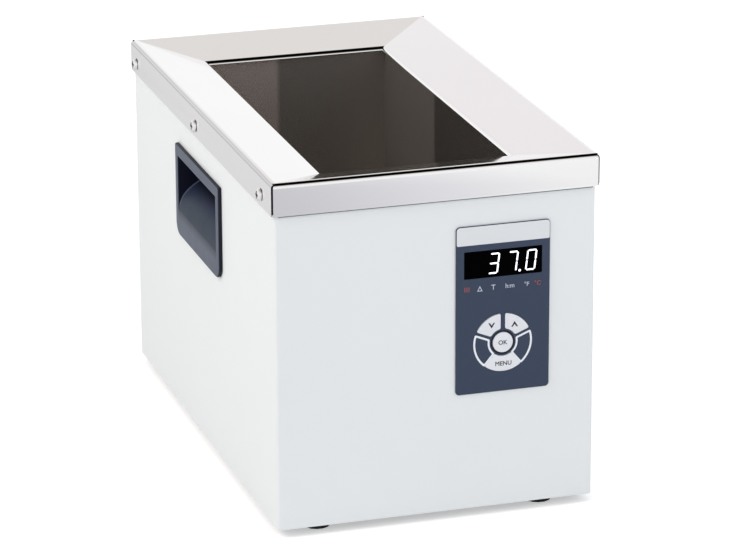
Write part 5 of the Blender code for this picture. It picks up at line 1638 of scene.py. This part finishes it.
def dress_kept_nodes() -> None:
    """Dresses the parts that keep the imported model's own shape."""
    kept = [
        (POWDER, "root", ("rear_panel",)),
        (PLATED, "root", ("tank_rail_left", "tank_rail_right", "base_tray")),
        (SILICONE, "root", ("heater_mat",)),
        (ALUMINIUM, "root", ("heater_clamp_plate", "heat_sink")),
        (FASTENER, "root", ("temperature_sensor", "sensor_clip")),
        (BLACK, "root", ("overtemperature_cutout", "display_module", "mains_inlet", "triac")),
        (BLACK, "fuse_drawer", ("fuse_drawer",)),
        (BLACK, "power_rocker", ("power_rocker",)),
        (GLASS, "fuse_drawer", ("fuse_inner", "fuse_outer")),
        (BRASS, "root", ("pin_line", "pin_earth", "pin_neutral")),
        (BOARD, "root", ("key_board", "power_board")),
        (CORE, "root", ("transformer",)),
    ]
    for look, kind in ((RUBBER, "foot"), (FASTENER, "foot_screw"), (FASTENER, "clamp_nut")):
        places = ("front_left", "front_right", "rear_right", "rear_left")
        kept.append((look, "root", tuple(f"{kind}_{place}" for place in places)))
    for look, body, names in kept:
        for name in names:
            dress(bpy.data.objects[name], look, body=body)


@dataclass
class Stage:
    """The floor, the room and the lamps.

    The lamps' light and the room's diffuse light add up to about one, so that colours show as
    written. Metal sees a room that is white round the horizon and grey overhead.
    """

    floor_size: float = 14
    floor_tone: str = "#F7F7F7"
    floor_roughness: float = 0.9
    floor_glow: float = 0.4
    floor_span: float = 0.4
    floor_painted_reflection: Stops = (
        (0.11, "#E6E7EA"),
        (0.5, "#C2C3C8"),
        (0.63, "#CBCCD1"),
        (0.75, "#DFE0E5"),
        (0.88, "#F6F7F8"),
    )
    room_level: float = 0.66
    sky: Stops = (
        (0, "#FFFFFF"),
        (0.2, "#FBFBFB"),
        (0.41, "#EFEBEC"),
        (0.7, "#E1DDD9"),
        (0.85, "#B9B6B4"),
        (1, "#8F8E8D"),
    )
    lamp_size: float = 1.4
    lamp_aim: tuple[float, float, float] = (0, 0, 0.12)

    def build(self) -> None:
        """Makes the floor, the world and two soft lamps."""
        corners = stand(rectangle(self.floor_size, self.floor_size), Axis.Z, 0)
        floor = make_object("floor", corners, [(0, 1, 2, 3)])
        floor.data.materials.append(self.floor_material())
        self.build_room()
        self.lamp("side_softbox", (-2.2, -0.3, 2.1), 36, "#FFF7F0")
        self.lamp("front_softbox", (1.3, -1.9, 1.1), 12, "#F4F9FF")

    def floor_material(self) -> bpy.types.Material:
        """Pale matt floor, with a trace of its own light for the camera so that it meets the room's white.
        For glossy rays it shows a painted reflection: a grey gradient across X, darkest at the middle.

        Returns:
            The material.
        """
        material = bpy.data.materials.new("pale_floor")
        material.use_nodes = True
        tree = material.node_tree
        camera, glossy = (add_node(tree, "LightPath", {}, f"Is {kind} Ray") for kind in ("Camera", "Glossy"))
        place = add_node(tree, "TexCoord", {}, "Object")
        across = add_node(tree, "SeparateXYZ", {"Vector": place}, "X")
        span = {"Value": across, "From Min": -self.floor_span, "From Max": self.floor_span}
        share = add_node(tree, "MapRange", span)
        # painted reflection: the floor's tone in glossy rays, so metal mirrors a darker floor
        mirrored = add_node(tree, "ValToRGB", {"Fac": share}, stops=self.floor_painted_reflection)
        tones = {"Factor": glossy, "A": self.floor_tone, "B": mirrored}
        glow = add_node(tree, "Math", {0: camera, 1: self.floor_glow}, operation="MULTIPLY")
        inputs = {
            "Base Color": add_node(tree, "Mix", tones, data_type="RGBA"),
            "Roughness": self.floor_roughness,
            "Emission Color": "#FFFFFF",
            "Emission Strength": glow,
        }
        feed(tree, tree.nodes["Principled BSDF"], inputs)
        return material

    def build_room(self) -> None:
        """World light: white for the camera, the sky's gradient for metal, and an even white otherwise."""
        world = bpy.data.worlds.new("room")
        bpy.context.scene.world = world
        world.use_nodes = True
        tree = world.node_tree
        way = add_node(tree, "TexCoord", {}, "Generated")
        rise = add_node(tree, "SeparateXYZ", {"Vector": way}, "Z")
        sky = add_node(tree, "ValToRGB", {"Fac": rise}, stops=self.sky)
        even, mirrored, plain = (
            add_node(tree, "Background", {"Color": tone, "Strength": level})
            for tone, level in (("#FFFFFF", self.room_level), (sky, 1), ("#FFFFFF", 1))
        )
        camera, through, glossy = (
            add_node(tree, "LightPath", {}, f"Is {kind} Ray") for kind in ("Camera", "Transmission", "Glossy")
        )
        seen = add_node(tree, "Math", {0: camera, 1: through}, operation="MAXIMUM")
        unseen = add_node(tree, "MixShader", {0: glossy, 1: even, 2: mirrored})
        whole = add_node(tree, "MixShader", {0: seen, 1: unseen, 2: plain})
        feed(tree, tree.nodes["World Output"], {"Surface": whole})

    def lamp(self, name: str, place: tuple[float, float, float], power: float, tone: str) -> None:
        """A square soft lamp that looks at the bath, and that metal doesn't mirror.

        Args:
            name: Its name.
            place: Where it hangs.
            power: Its power in watts.
            tone: The colour of its light.
        """
        light = bpy.data.lights.new(name, "AREA")
        light.size, light.energy, light.color = self.lamp_size, power, linear(tone)[:3]
        obj = linked(name, light)
        obj.location = place
        obj.rotation_euler = (Vector(self.lamp_aim) - Vector(place)).to_track_quat("-Z", "Y").to_euler()
        obj.visible_glossy = False


@dataclass
class Camera:
    """The camera at the photograph's viewing angle: turned about Z, tipped down, and rolled a little."""

    lens: float = 192.84
    sensor: float = 36
    clip: Pair = (0.05, 50)
    place: tuple[float, float, float] = (-0.74534, -2.4455, 0.97241)
    turned: float = -0.29895
    tipped: float = 0.32467
    rolled: float = 0.00426

    def build(self) -> None:
        """Makes the camera and sets it as the scene's."""
        data = bpy.data.cameras.new("camera")
        data.lens, data.sensor_width = self.lens, self.sensor
        data.clip_start, data.clip_end = self.clip
        obj = linked("camera", data)
        tipped = Matrix.Rotation(self.turned, 4, "Z") @ Matrix.Rotation(np.pi / 2 - self.tipped, 4, "X")
        obj.matrix_world = Matrix.Translation(self.place) @ tipped @ Matrix.Rotation(-self.rolled, 4, "Z")
        bpy.context.scene.camera = obj


def main() -> None:
    """Loads the frame and builds every piece in order."""
    logging.basicConfig(level=logging.INFO, format="%(message)s")
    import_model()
    grips = [Grip(side) for side in Side]
    for part in (Camera(), Stage(), Casing(), Rim(), RimScrew(), Tank(), *grips, KeyPanel(), Rocker()):
        part.build()
    dress_kept_nodes()
    bpy.context.scene.view_settings.view_transform = "Standard"


if __name__ == "__main__":
    main()
